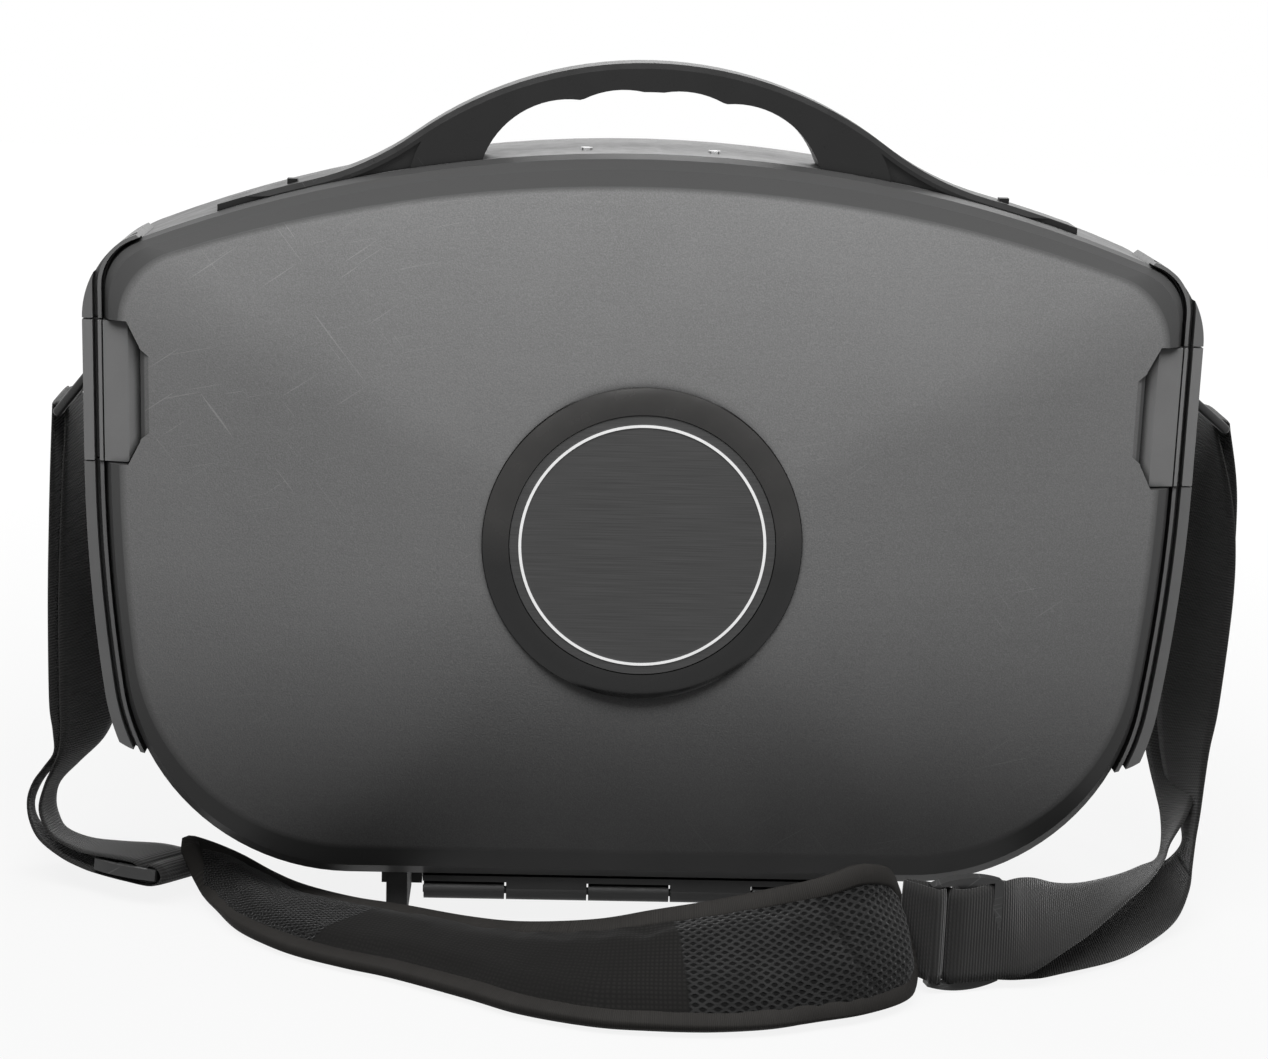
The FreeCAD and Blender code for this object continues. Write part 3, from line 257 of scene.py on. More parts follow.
def shell_paint(name, tone, scratch_tone):
    """Grained matt plastic on the face, which turns under below; smoother plastic on the rolled edge,
    darker than the face and with painted shade deepening toward the top; painted shade in gaps.
    """
    paint = Paint(name, grey(tone), 0.5, specular=0.15)
    edge = paint.spread(paint.axis("Y"), FACE_EDGE_Y - 0.0006, FACE_EDGE_Y + 0.0002)
    cloudy = paint.spread(paint.noise(7.0, 4.0), 0.35, 0.65)
    face = paint.mixed(cloudy, grey(tone * 0.93), grey(tone * 1.06))
    speckle = paint.spread(paint.noise(1500.0, 1.0), 0.35, 0.7)
    face = paint.mixed(paint.math("MULTIPLY", speckle, 0.45), face, grey(tone * 1.6))
    rubbed = paint.noise(1.0, 3.0, paint.moved(paint.place, (9.0, 1.0, 260.0)))
    face = paint.mixed(paint.spread(rubbed, 0.45, 0.8, 0.0, 0.12), face, grey(tone * 1.4))
    marks = scratches(paint, 16.0, 800.0, 0.715)
    face = paint.mixed(paint.math("MULTIPLY", marks, 0.35), face, grey(scratch_tone))
    # Rolled edge: its own darker tone, with painted shade deepening toward the top.
    height = paint.spread(paint.axis("Z"), RIM_SHADE_LOW_Z, RIM_SHADE_HIGH_Z)
    rolled = paint.mixed(height, grey(tone * RIM_LOW_SHADE_SHARE), grey(tone * RIM_HIGH_SHADE_SHARE))
    # Painted shade darkens the shell in narrow gaps and where other parts meet it.
    paint.colour(paint.shaded_in_gaps(paint.mixed(edge, face, rolled), 0.006, 0.1))
    smear = paint.spread(paint.noise(23.0, 3.0), 0.3, 0.7, 0.50, 0.60)
    paint.rough(paint.math("SUBTRACT", smear, paint.math("MULTIPLY", edge, 0.10)))
    grain = paint.math("MULTIPLY", paint.noise(1150.0, 2.0), paint.spread(edge, 0.0, 1.0, 1.0, 0.15))
    paint.bump(grain, 0.35, 0.0004)
    below = paint.math("MAXIMUM", paint.math("SUBTRACT", TURN_FROM_Z, paint.axis("Z")), 0.0)
    fall = paint.math("MULTIPLY", paint.math("MULTIPLY", below, below), -TURN_DEPTH)
    paint.bump(fall, 1.0, 1.0)
    return paint.material


WEAR_TONE = 0.22


def plastic_paint(name, tone, rough, grain=900.0, depth=0.12, wear=0.0, specular=0.25):
    """Plain moulded plastic with a fine skin and a little uneven gloss, with painted shade in narrow gaps.
    """
    paint = Paint(name, grey(tone), rough, specular=specular)
    cloudy = paint.spread(paint.noise(40.0, 3.0), 0.3, 0.7)
    tint = paint.mixed(cloudy, grey(tone * 0.95), grey(tone * 1.05))
    if wear > 0:
        marks = scratches(paint, 30.0, 900.0, 0.70)
        tint = paint.mixed(paint.math("MULTIPLY", marks, wear), tint, grey(WEAR_TONE))
    # Painted shade darkens the plastic in narrow gaps and where parts meet.
    paint.colour(paint.shaded_in_gaps(tint, 0.004, 0.15))
    paint.rough(paint.spread(paint.noise(90.0, 3.0), 0.3, 0.7, rough - 0.05, rough + 0.08))
    paint.bump(paint.noise(grain, 2.0), depth, 0.0003)
    return paint.material


def gloss_paint(name, tone, reflection_tone, reflection_from, rough):
    """Polished plastic with faint rubbing marks; above a height it is painted lighter and a little brown,
    as a painted reflection.
    """
    paint = Paint(name, grey(tone), rough, specular=0.3)
    rub = paint.spread(paint.noise(60.0, 4.0), 0.35, 0.7)
    # Above this height the ring is painted lighter and a little brown: a painted reflection.
    height = paint.spread(paint.axis("Z"), reflection_from - 0.012, reflection_from + 0.012)
    low = paint.mixed(rub, grey(tone * 0.8), grey(tone * 1.3))
    high = paint.mixed(rub, grey(reflection_tone * 0.9, 0.04), grey(reflection_tone * 1.15, 0.04))
    paint.colour(paint.mixed(height, low, high))
    paint.rough(paint.spread(rub, 0.0, 1.0, rough, rough + 0.10))
    paint.bump(paint.noise(350.0, 1.0), 0.03, 0.0002)
    paint.set("Coat Weight", 0.15)
    paint.set("Coat Roughness", 0.06)
    return paint.material


def brushed_paint(name, tone, rough):
    """Satin disc with a fine level grain."""
    paint = Paint(name, grey(tone), rough, specular=0.3)
    grain = paint.noise(1.0, 2.0, paint.moved(paint.place, (25.0, 25.0, 1800.0)))
    paint.colour(paint.mixed(paint.spread(grain, 0.3, 0.7), grey(tone * 0.8), grey(tone * 1.25)))
    paint.rough(paint.spread(paint.noise(30.0, 3.0), 0.3, 0.7, rough - 0.04, rough + 0.06))
    paint.bump(grain, 0.06, 0.0002)
    return paint.material


def metal_paint(name, tone, rough):
    paint = Paint(name, grey(tone), rough, metallic=1.0)
    smear = paint.spread(paint.noise(120.0, 3.0), 0.3, 0.7)
    paint.colour(paint.mixed(smear, grey(tone * 0.9), grey(tone)))
    paint.rough(paint.spread(smear, 0.0, 1.0, rough, rough + 0.12))
    paint.bump(paint.noise(1400.0, 1.0), 0.04, 0.0001)
    return paint.material


def foam_paint(name, tone):
    paint = Paint(name, grey(tone), 0.9, specular=0.2)
    pores = paint.spread(paint.cells(700.0), 0.1, 0.6)
    paint.colour(paint.mixed(pores, grey(tone * 0.4), grey(tone * 1.2)))
    paint.bump(pores, 0.5, 0.0005)
    return paint.material


def screen_paint(name):
    """Dark display glass with a hint of haze."""
    paint = Paint(name, grey(0.008), 0.22)
    haze = paint.spread(paint.noise(4.0, 3.0), 0.3, 0.7)
    paint.colour(paint.mixed(haze, (0.006, 0.007, 0.009), (0.011, 0.012, 0.015)))
    paint.rough(paint.spread(haze, 0.0, 1.0, 0.16, 0.26))
    return paint.material


def board_paint(name):
    """Circuit board: green lacquer with lighter tracks."""
    paint = Paint(name, (0.01, 0.08, 0.03), 0.35)
    tracks = paint.spread(paint.cells(90.0, feature="DISTANCE_TO_EDGE"), 0.02, 0.05)
    paint.colour(paint.mixed(tracks, (0.03, 0.16, 0.06), (0.008, 0.06, 0.022)))
    paint.bump(tracks, 0.3, 0.0003)
    return paint.material


# Woven goods

RIB_PITCH = 0.0016
TWILL_PITCH = 0.0012
WEAVE_PITCH = 0.0022
TAPE_PITCH = 0.0013
MESH_PITCH = (0.0060, 0.0040)
RIBBED_MESH_PITCH = (0.0045, 0.0024)


def webbing_paint(name, tone, warm):
    """Ribbed nylon: level ribs across the band and a fine twill on each rib."""
    paint = Paint(name, grey(tone, warm), 0.7, specular=0.15)
    ribs = paint.bands(RIB_PITCH, "X", paint.cloth_place)
    twill = paint.bands(TWILL_PITCH, "DIAGONAL", paint.cloth_place)
    weave = paint.math("ADD", ribs, paint.math("MULTIPLY", twill, 0.2))
    dusty = paint.spread(paint.noise(30.0, 3.0), 0.35, 0.7)
    dark = paint.mixed(dusty, grey(tone * 0.45, warm), grey(tone * 0.6, warm))
    light = paint.mixed(dusty, grey(tone, warm), grey(tone * 1.35, warm))
    paint.colour(paint.mixed(paint.spread(weave, 0.15, 1.1), dark, light))
    paint.bump(weave, 0.55, 0.0006)
    paint.set("Sheen Weight", 0.25)
    paint.set("Sheen Roughness", 0.5)
    return paint.material


def woven_look(paint, tone, warm):
    """Colour and height of a close plain weave, slightly faded in patches."""
    warp = paint.bands(WEAVE_PITCH, "X", paint.cloth_place)
    weft = paint.bands(WEAVE_PITCH, "Y", paint.cloth_place)
    weave = paint.math("MULTIPLY", warp, weft)
    faded = paint.spread(paint.noise(18.0, 4.0), 0.35, 0.68)
    body = paint.mixed(faded, grey(tone * 0.8, warm), grey(tone * 1.25, warm))
    return paint.mixed(paint.spread(weave, 0.0, 0.6), grey(tone * 0.6, warm), body), weave


def mesh_look(paint, tone, long_pitch, cross_pitch):
    """Colour and height of an air mesh: dark open cells between lighter threads."""
    place = paint.moved(paint.cloth_place, (1.0 / long_pitch, 1.0 / cross_pitch, 1.0))
    first = paint.math("ADD", paint.axis("X", place), paint.axis("Y", place))
    second = paint.math("SUBTRACT", paint.axis("X", place), paint.axis("Y", place))
    waves = []
    for slant in (first, second):
        turned = paint.math("MULTIPLY", slant, math.pi)
        waves.append(paint.math("ABSOLUTE", paint.math("SINE", turned, 0.0), 0.0))
    hole = paint.math("MULTIPLY", waves[0], waves[1])
    thread = paint.spread(hole, 0.25, 0.75, 1.0, 0.0)
    uneven = paint.spread(paint.noise(60.0, 3.0), 0.3, 0.7)
    cord = paint.mixed(uneven, grey(tone * 0.75), grey(tone * 1.3))
    return paint.mixed(thread, grey(tone * 0.06), cord), thread


def plain_cloth_paint(name, tone):
    """Smooth close-woven cloth."""
    paint = Paint(name, grey(tone), 0.8, specular=0.1)
    colour, weave = woven_look(paint, tone, 0.0)
    paint.colour(colour)
    paint.bump(weave, 0.3, 0.0003)
    paint.bump(paint.noise(70.0, 3.0), 0.25, 0.0012)
    paint.set("Sheen Weight", 0.2)
    return paint.material


def beyond(paint, x_share, other_axis, other_share, limit, blur=0.0008):
    """One where a slanted plane through the part is passed, nought before it."""
    x_part = paint.math("MULTIPLY", paint.axis("X"), x_share)
    other_part = paint.math("MULTIPLY", paint.axis(other_axis), other_share)
    return paint.spread(paint.math("ADD", x_part, other_part), limit - blur, limit + blur)


def pad_paint(name, cover_tone, mesh_tone, rib_tone):
    """Shoulder pad cover: dark ribbed end, plain middle, open mesh on the right with one crease, dented
    and painted darker along it as shade.
    """
    paint = Paint(name, grey(cover_tone), 0.8, specular=0.1)
    cover, cover_height = woven_look(paint, cover_tone, 0.05)
    mesh, mesh_height = mesh_look(paint, mesh_tone, *MESH_PITCH)
    rib, rib_height = mesh_look(paint, rib_tone, *RIBBED_MESH_PITCH)
    is_mesh = beyond(paint, 0.99, "Y", 0.144, 0.0)
    is_rib = beyond(paint, -0.634, "Y", 0.773, 0.0301)
    crease_start = beyond(paint, 0.806, "Z", 0.591, 0.1036, 0.0012)
    crease_end = beyond(paint, 0.806, "Z", 0.591, 0.1066, 0.0012)
    crease = paint.math("MULTIPLY", paint.math("SUBTRACT", crease_start, crease_end), is_mesh)
    tint = paint.mixed(is_rib, paint.mixed(is_mesh, cover, mesh), rib)
    # Along the crease the colour is darkened: painted shade.
    paint.colour(paint.mixed(paint.math("MULTIPLY", crease, 0.6), tint, grey(cover_tone * 0.4)))
    for height, share in ((mesh_height, is_mesh), (rib_height, is_rib)):
        paint.bump(paint.math("MULTIPLY", height, share), 0.8, 0.0012)
    paint.bump(cover_height, 0.3, 0.0003)
    paint.bump(paint.math("SUBTRACT", paint.noise(70.0, 3.0), crease), 0.25, 0.0016)
    paint.set("Sheen Weight", 0.1)
    return paint.material


def binding_paint(name, tone):
    """Edge tape with fine ribs along it."""
    paint = Paint(name, grey(tone, 0.04), 0.75, specular=0.12)
    ribs = paint.bands(TAPE_PITCH, "X", paint.cloth_place)
    worn = paint.spread(paint.noise(45.0, 3.0), 0.3, 0.7)
    light = paint.mixed(worn, grey(tone, 0.06), grey(tone * 1.35, 0.06))
    paint.colour(paint.mixed(ribs, grey(tone * 0.75, 0.06), light))
    paint.bump(ribs, 0.3, 0.0003)
    return paint.material


# The emblem's centre height, above which the ring carries its painted reflection.
EMBLEM_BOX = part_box("emblem_ring")
EMBLEM_Z = (EMBLEM_BOX[0][2] + EMBLEM_BOX[1][2]) / 2

PAINTS = {
    "shell": shell_paint("shell", 0.130, 0.32),
    "base": plastic_paint("base", 0.08, 0.42, 700.0, 0.2, 0.3),
    "rail": plastic_paint("rail", 0.11, 0.38, 900.0, 0.06, 0.35),
    "latch": plastic_paint("latch", 0.15, 0.42, 1100.0, 0.15, 0.2),
    "handle": plastic_paint("handle", 0.011, 0.30, 900.0, 0.1, 0.2, specular=0.22),
    "foot": plastic_paint("foot", 0.02, 0.7, 500.0, 0.3),
    # The emblem ring: black below its centre, with a painted reflection above it.
    "emblem_gloss": gloss_paint("emblem_gloss", 0.003, 0.020, EMBLEM_Z, 0.20),
    "emblem_satin": brushed_paint("emblem_satin", 0.048, 0.42),
    "chrome": metal_paint("chrome", 0.85, 0.10),
    "bezel": plastic_paint("bezel", 0.018, 0.36, 800.0, 0.1),
    "screen": screen_paint("screen"),
    "board": board_paint("board"),
    "button": plastic_paint("button", 0.03, 0.45, 800.0, 0.1),
    "grille": plastic_paint("grille", 0.02, 0.5, 600.0, 0.2),
    "speaker": foam_paint("speaker", 0.02),
    "socket": metal_paint("socket", 0.35, 0.3),
    "hinge": plastic_paint("hinge", 0.02, 0.45),
    "screw": metal_paint("screw", 0.75, 0.18),
    "ring": plastic_paint("ring", 0.03, 0.3, 700.0, 0.08),
    "bracket": plastic_paint("bracket", 0.03, 0.45),
    "seal": plastic_paint("seal", 0.015, 0.75, 500.0, 0.3),
    "mat": foam_paint("mat", 0.03),
    "hold_strap": plain_cloth_paint("hold_strap", 0.03),
    "webbing": webbing_paint("webbing", 0.018, 0.02),
    "slider": plastic_paint("slider", 0.04, 0.36, 700.0, 0.12, 0.4),
    "pad": pad_paint("pad", 0.0085, 0.019, 0.009),
    "binding": binding_paint("binding", 0.021),
}

NODE_PAINT = {
    "base_shell": "base", "handle": "handle", "handle_screw": "screw", "upper_rail": "rail",
    "lower_rail": "rail", "latch_pin": "hinge", "ring_bracket": "bracket", "hinge_base_leaf": "hinge",
    "hinge_lid_leaf": "hinge", "hinge_pin": "hinge", "foot_front": "foot", "foot_rear": "foot",
    "rim_seal": "seal", "bay_mat": "mat", "console_strap": "hold_strap", "strap_webbing": "webbing",
    "strap_slider": "slider", "shoulder_pad": "pad", "lid_shell": "shell", "emblem_ring": "emblem_gloss",
    "emblem_disc": "emblem_satin", "emblem_trim": "chrome", "screen_bezel": "bezel", "lcd_panel": "screen",
    "driver_board": "board", "speaker_grille": "grille", "speaker": "speaker", "headphone_jack": "socket",
    "video_socket": "socket", "dc_socket": "socket", "latch": "latch", "strap_ring": "ring",
    "button": "button",
}
SIDES = ("_left", "_right", "_power", "_menu", "_volume_down", "_volume_up")
ROUNDED = {
    "handle": 0.8, "upper_rail": 0.7, "lower_rail": 0.7, "latch": 0.6, "strap_slider": 1.2,
    "foot_front": 1.0, "foot_rear": 1.5, "button": 0.4, "screen_bezel": 0.4, "handle_screw": 0.4,
    "emblem_disc": 0.3,
}
SHARP_FROM = math.radians(32)


def plain_name(name):
    for side in SIDES:
        if name.endswith(side):
            return name[: -len(side)]
    return name


for name, item in nodes.items():
    kind = plain_name(name)
    item.data.materials.clear()
    item.data.materials.append(PAINTS[NODE_PAINT[kind]])
    if kind in ROUNDED:
        bevel = item.modifiers.new("soft_edges", "BEVEL")
        bevel.width = ROUNDED[kind] * MM
        bevel.segments = 2
        bevel.limit_method = "ANGLE"
        bevel.angle_limit = SHARP_FROM


# Bands of webbing along smooth courses

COURSE_STEPS = 40


def smooth_course(points, count):
    """A Catmull-Rom course through the points, evenly spaced; returns rows of numbers."""
    rows = np.array(points, float)
    rows = np.vstack([2 * rows[0] - rows[1], rows, 2 * rows[-1] - rows[-2]])
    fine = []
    for index in range(1, len(rows) - 2):
        a, b, c, d = rows[index - 1: index + 3]
        for t in np.linspace(0, 1, COURSE_STEPS, endpoint=False):
            fine.append(0.5 * (2 * b + (c - a) * t + (2 * a - 5 * b + 4 * c - d) * t * t
                               + (3 * b - a - 3 * c + d) * t ** 3))
    fine.append(rows[-2])
    fine = np.array(fine)
    steps = np.linalg.norm(np.diff(fine[:, :3], axis=0), axis=1)
    travelled = np.concatenate([[0], np.cumsum(steps)])
    wanted = np.linspace(0, travelled[-1], count)
    columns = [np.interp(wanted, travelled, fine[:, k]) for k in range(fine.shape[1])]
    return np.stack(columns, axis=1), travelled[-1]


def unit(rows):
    return rows / np.linalg.norm(rows, axis=1)[:, None]


def add_object(name, mesh, paint_names):
    item = bpy.data.objects.new(name, mesh)
    for paint_name in paint_names:
        mesh.materials.append(PAINTS[paint_name])
    scene.collection.objects.link(item)
    return item


def shell_mesh(name, upper, lower, lengths):
    """A closed mesh from two grids of points, with cloth coordinates in metres."""
    rows, across = upper.shape[:2]
    mesh = bmesh.new()
    cloth = mesh.loops.layers.uv.new("cloth")
    grids = []
    for grid in (upper, lower):
        grids.append([[mesh.verts.new(grid[i, j]) for j in range(across)] for i in range(rows)])
    spot = {}
    for grid in grids:
        for i in range(rows):
            for j in range(across):
                width = np.linalg.norm(upper[i, j] - upper[i, 0])
                spot[grid[i][j]] = (lengths[i], width)

    def face(corners, smooth=True):
        made = mesh.faces.new(corners)
        made.smooth = smooth
        for loop in made.loops:
            loop[cloth].uv = spot[loop.vert]

    top, bottom = grids
    for i in range(rows - 1):
        for j in range(across - 1):
            face((top[i][j], top[i][j + 1], top[i + 1][j + 1], top[i + 1][j]))
            face((bottom[i][j], bottom[i + 1][j], bottom[i + 1][j + 1], bottom[i][j + 1]))
        for j in (0, across - 1):
            face((top[i][j], top[i + 1][j], bottom[i + 1][j], bottom[i][j]), False)
    for i in (0, rows - 1):
        for j in range(across - 1):
            face((top[i][j], top[i][j + 1], bottom[i][j + 1], bottom[i][j]), False)
    bmesh.ops.recalc_face_normals(mesh, faces=mesh.faces)
    data = bpy.data.meshes.new(name)
    mesh.to_mesh(data)
    mesh.free()
    return data


WEB_WIDE = 0.050
WEB_THICK = 0.0018
WEB_ACROSS = 9
WEB_EDGE_THINNER = 0.6
FLOOR_ROOM = 0.0008


def band_course(stations, count):
    """Upper and lower grids of a flat band, and the length at each row.

    Each station is a centre in millimetres and the direction across the band.
    """
    rows = [list(np.array(centre) * MM) + list(across) for centre, across in stations]
    course, length = smooth_course(rows, count)
    centre = course[:, :3]
    across = unit(course[:, 3:])
    along = unit(np.gradient(centre, axis=0))
    normal = unit(np.cross(along, across))
    share = np.linspace(-0.5, 0.5, WEB_ACROSS)
    middle = centre[:, None] + across[:, None] * (share * WEB_WIDE)[None, :, None]
    swell = WEB_THICK / 2 * (1 - WEB_EDGE_THINNER * np.abs(2 * share) ** 6)
    lift = normal[:, None] * swell[None, :, None]
    grids = middle + lift, middle - lift
    for grid in grids:
        grid[:, :, 2] = np.maximum(grid[:, :, 2], FLOOR_ROOM)
    return grids[0], grids[1], np.linspace(0, length, count)


def add_band(name, course, first, last):
    """The stretch of a band between two rows, with cloth coordinates and the webbing paint."""
    upper, lower, lengths = course
    rows = slice(first, last + 1)
    data = shell_mesh(name, upper[rows], lower[rows], lengths[rows])
    band = add_object(name, data, ["webbing"])
    return band


# Where the strap meets the rings, and how its pieces are attached

OPEN_LID_Z = 0.024
RING_BARS = {"right": (307.5, 266.7), "left": (-301.5, 260.8)}
RING_BAR_Y = 28


def lay_flat(item):
    """A piece on the base, attached to the base's body and given a mesh of its own."""
    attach(item, "base")
    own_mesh(item)


def hang(band):
    """A strap, with its placement baked into its mesh."""
    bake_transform(band)


# Each strap runs from its slider up to the ring, round the ring's bar and back down to the slider

RIGHT_UP = (
    ((155.5, -116.5, 30.5), (0.0, 0.0, 1.0)),
    ((156.5, -122, 30.5), (0.0, 0.0, 1.0)),
    ((160, -125.4, 30.5), (0.0, 0.0, 1.0)),
    ((167, -124.2, 30.5), (0.0, 0.0, 1.0)),
    ((187, -115.5, 30.5), (0.0, 0.15, 0.99)),
    ((200, -106, 29), (0.05, 0.55, 0.83)),
    ((216.5, -94, 28), (0.08, 0.88, 0.45)),
    ((235.8, -78, 28.5), (0.06, 0.98, 0.15)),
    ((259, -56, 31), (0.09, 0.99, -0.10)),
    ((276, -34, 31), (0.12, 0.97, -0.21)),
    ((289.7, -10, 30), (0.15, 0.93, -0.33)),
    ((295.5, 4, 35), (0.14, 0.94, -0.31)),
    ((302, 18.3, 45), (-0.04, 0.95, -0.31)),
    ((305, 29, 54), (-0.20, 0.93, -0.30)),
    ((305.8, 38, 65), (-0.34, 0.90, -0.22)),
    ((305.5, 43, 78), (-0.43, 0.88, -0.15)),
    ((304.5, 41.5, 110), (-0.47, 0.87, -0.05)),
    ((308, 34, 168), (-0.52, 0.85, 0.0)),
    ((310.5, 31, 225), (-0.35, 0.93, 0.0)),
)
RIGHT_DOWN = (
    ((306.5, 28.2, 232), (-0.33, 0.94, 0.0)),
    ((309, 27.5, 205), (-0.42, 0.90, 0.0)),
    ((308.5, 28, 168), (-0.52, 0.85, -0.05)),
    ((307, 27, 110), (-0.46, 0.87, -0.15)),
    ((306.5, 24, 84.2), (-0.32, 0.91, -0.25)),
    ((307.5, 20, 65.3), (-0.18, 0.93, -0.31)),
    ((309.3, 14, 48), (0.0, 0.95, -0.31)),
    ((309, 8, 37), (0.10, 0.95, -0.28)),
    ((306.3, 0, 28.5), (0.11, 0.98, -0.14)),
    ((300.7, -8, 20.5), (0.0, 1.0, -0.03)),
    ((289.6, -22, 14.8), (-0.08, 0.97, 0.21)),
    ((270.8, -40, 10.5), (-0.14, 0.96, 0.26)),
    ((247.9, -62, 9.7), (-0.16, 0.95, 0.28)),
    ((216.4, -84, 11.5), (-0.02, 0.95, 0.32)),
    ((200, -96, 21), (0.0, 0.70, 0.71)),
    ((184, -107, 27), (0.0, 0.30, 0.95)),
    ((160, -113, 27.5), (0.0, 0.10, 1.0)),
)
LEFT_UP = (
    ((-246, -5.7, 14), (-0.42, -0.89, 0.17)),
    ((-243, -6.2, 18.4), (-0.42, -0.89, 0.17)),
    ((-237.7, -9, 17), (-0.42, -0.89, 0.17)),
    ((-236.2, -10.6, 12), (-0.42, -0.89, 0.17)),
    ((-241.9, -8.7, 8.1), (-0.42, -0.89, 0.17)),
    ((-256.4, -1.9, 8.1), (-0.42, -0.89, 0.17)),
    ((-273.7, 5.5, 9.0), (-0.32, -0.93, 0.18)),
    ((-289, 11, 10.5), (-0.12, -0.97, 0.19)),
    ((-302.4, 15, 13.5), (-0.03, -0.97, 0.23)),
    ((-315, 18, 20), (0.0, -0.95, 0.30)),
    ((-322.5, 20, 29), (0.08, -0.94, 0.34)),
    ((-324.4, 21, 39.7), (0.11, -0.93, 0.36)),
    ((-321.1, 22, 50), (0.10, -0.94, 0.34)),
    ((-314.4, 22, 59.4), (0.07, -0.95, 0.31)),
    ((-305.5, 23, 69), (-0.07, -0.96, 0.26)),
    ((-299.5, 23, 84), (-0.32, -0.93, 0.12)),
    ((-297.5, 23, 104), (-0.48, -0.88, 0.0)),
    ((-297, 24.5, 150), (-0.50, -0.87, 0.0)),
    ((-300.5, 26, 205), (-0.28, -0.96, 0.0)),
)
LEFT_DOWN = (
    ((-294.5, 26, 205), (-0.28, -0.96, 0.0)),
    ((-291.5, 24.5, 150), (-0.50, -0.87, 0.0)),
    ((-292, 23, 104), (-0.48, -0.88, 0.0)),
    ((-292.5, 23, 88), (-0.45, -0.89, 0.07)),
    ((-296.5, 23, 73), (-0.33, -0.93, 0.14)),
    ((-305, 22, 61), (-0.13, -0.96, 0.23)),
    ((-312.5, 22, 50.5), (0.01, -0.96, 0.29)),
    ((-315.4, 21, 39.3), (0.0, -0.97, 0.25)),
    ((-313.6, 20, 30), (0.01, -0.97, 0.24)),
    ((-308.5, 18, 23), (0.02, -0.97, 0.25)),
    ((-296.7, 15, 18.5), (-0.04, -0.97, 0.24)),
    ((-283, 10, 18), (-0.20, -0.95, 0.21)),
    ((-266.5, 4.8, 18.6), (-0.42, -0.89, 0.17)),
    ((-255.7, -0.3, 18.8), (-0.42, -0.89, 0.17)),
    ((-250.3, -2.9, 18), (-0.42, -0.89, 0.17)),
    ((-248.3, -4.6, 14), (-0.42, -0.89, 0.17)),
    ((-249, -5, 10), (-0.42, -0.89, 0.17)),
)
WRAP = 3.5
WRAP_ANGLES = (-10, 30, 60, 90, 120, 150, 190)


def wrapped(side, going_up, going_down):
    """The whole course of a strap, with its turn round the ring's bar."""
    x, z = RING_BARS[side]
    outward = 1 if x > 0 else -1
    turn = []
    for angle in WRAP_ANGLES:
        lean = math.radians(angle)
        spot = (x + outward * WRAP * math.cos(lean), RING_BAR_Y, z + WRAP * math.sin(lean))
        turn.append((spot, (0, outward, 0)))
    return going_up + tuple(turn) + going_down


STRAP_ROWS = 260
STANDS_UP_X = 0.281

right_course = band_course(wrapped("right", RIGHT_UP, RIGHT_DOWN), STRAP_ROWS)
right_spine = right_course[0][:, WEB_ACROSS // 2]
standing = np.flatnonzero((right_spine[:, 0] > STANDS_UP_X) & (right_spine[:, 2] > OPEN_LID_Z))
first_up, last_up = int(standing[0]), int(standing[-1])
right_band = add_band("webbing_right", right_course, first_up, last_up)
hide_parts("strap_webbing_right")
hang(right_band)
front = add_band("webbing_right_front", right_course, 0, first_up)
lay_flat(front)
last_row = STRAP_ROWS - 1
under = add_band("webbing_right_under", right_course, last_up, last_row)
lay_flat(under)

left_course = band_course(wrapped("left", LEFT_UP, LEFT_DOWN), STRAP_ROWS)
left_band = add_band("webbing_left", left_course, 0, last_row)
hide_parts("strap_webbing_left")
hang(left_band)

RIGHT_TAB = (
    ((134, -117, 33), (0.0, -0.10, 1.0)),
    ((146, -125.5, 32), (0.0, -0.05, 1.0)),
    ((151, -127.8, 31), (0.0, 0.0, 1.0)),
    ((154.6, -123.8, 31), (0.0, 0.0, 1.0)),
    ((152.5, -119.8, 31), (0.0, 0.0, 1.0)),
    ((146, -119.5, 32), (0.0, 0.0, 1.0)),
    ((136, -115.5, 33), (0.0, -0.10, 1.0)),
)
TAB_ROWS = 80
tab_course = band_course(RIGHT_TAB, TAB_ROWS)
tab = add_band("webbing_tab_right", tab_course, 0, TAB_ROWS - 1)
lay_flat(tab)


# Shoulder pad: a foam-filled cover with a bound edge

PAD_EDGES = (
    ((-226, -22, 5), (-243, 4, 28)),
    ((-217, -40, 5), (-224, 2, 23)),
    ((-203, -65, 5), (-207, -6, 19)),
    ((-187, -83, 5), (-189, -18, 14)),
    ((-169, -98, 5), (-171, -31, 12)),
    ((-144, -112, 5), (-144, -45, 11)),
    ((-119, -124, 5), (-117, -57, 12)),
    ((-82, -147, 5), (-82, -81, 16)),
    ((-55, -165, 5), (-54, -101, 22)),
    ((-21, -178, 5), (-18, -118, 31)),
    ((7, -182, 5), (10, -124, 39)),
    ((36, -183, 5), (38, -130, 47)),
    ((65, -179, 5), (65, -133, 55)),
    ((90, -170, 5), (90, -138, 64)),
    ((112, -161, 5), (108, -133, 69)),
    ((132, -146, 5), (122, -121, 64)),
    ((143, -126, 6), (131, -106, 52)),
)
PAD_ROWS = 150
PAD_ACROSS = 15
PAD_HALF = 0.0040
PAD_RIM_HALF = 0.0008
RIGHT_CORNER = 0.016
LEFT_CORNER = 0.010
RIGHT_TAPER = 0.010
LEFT_TAPER = 0.012
END_SHARE = 0.15


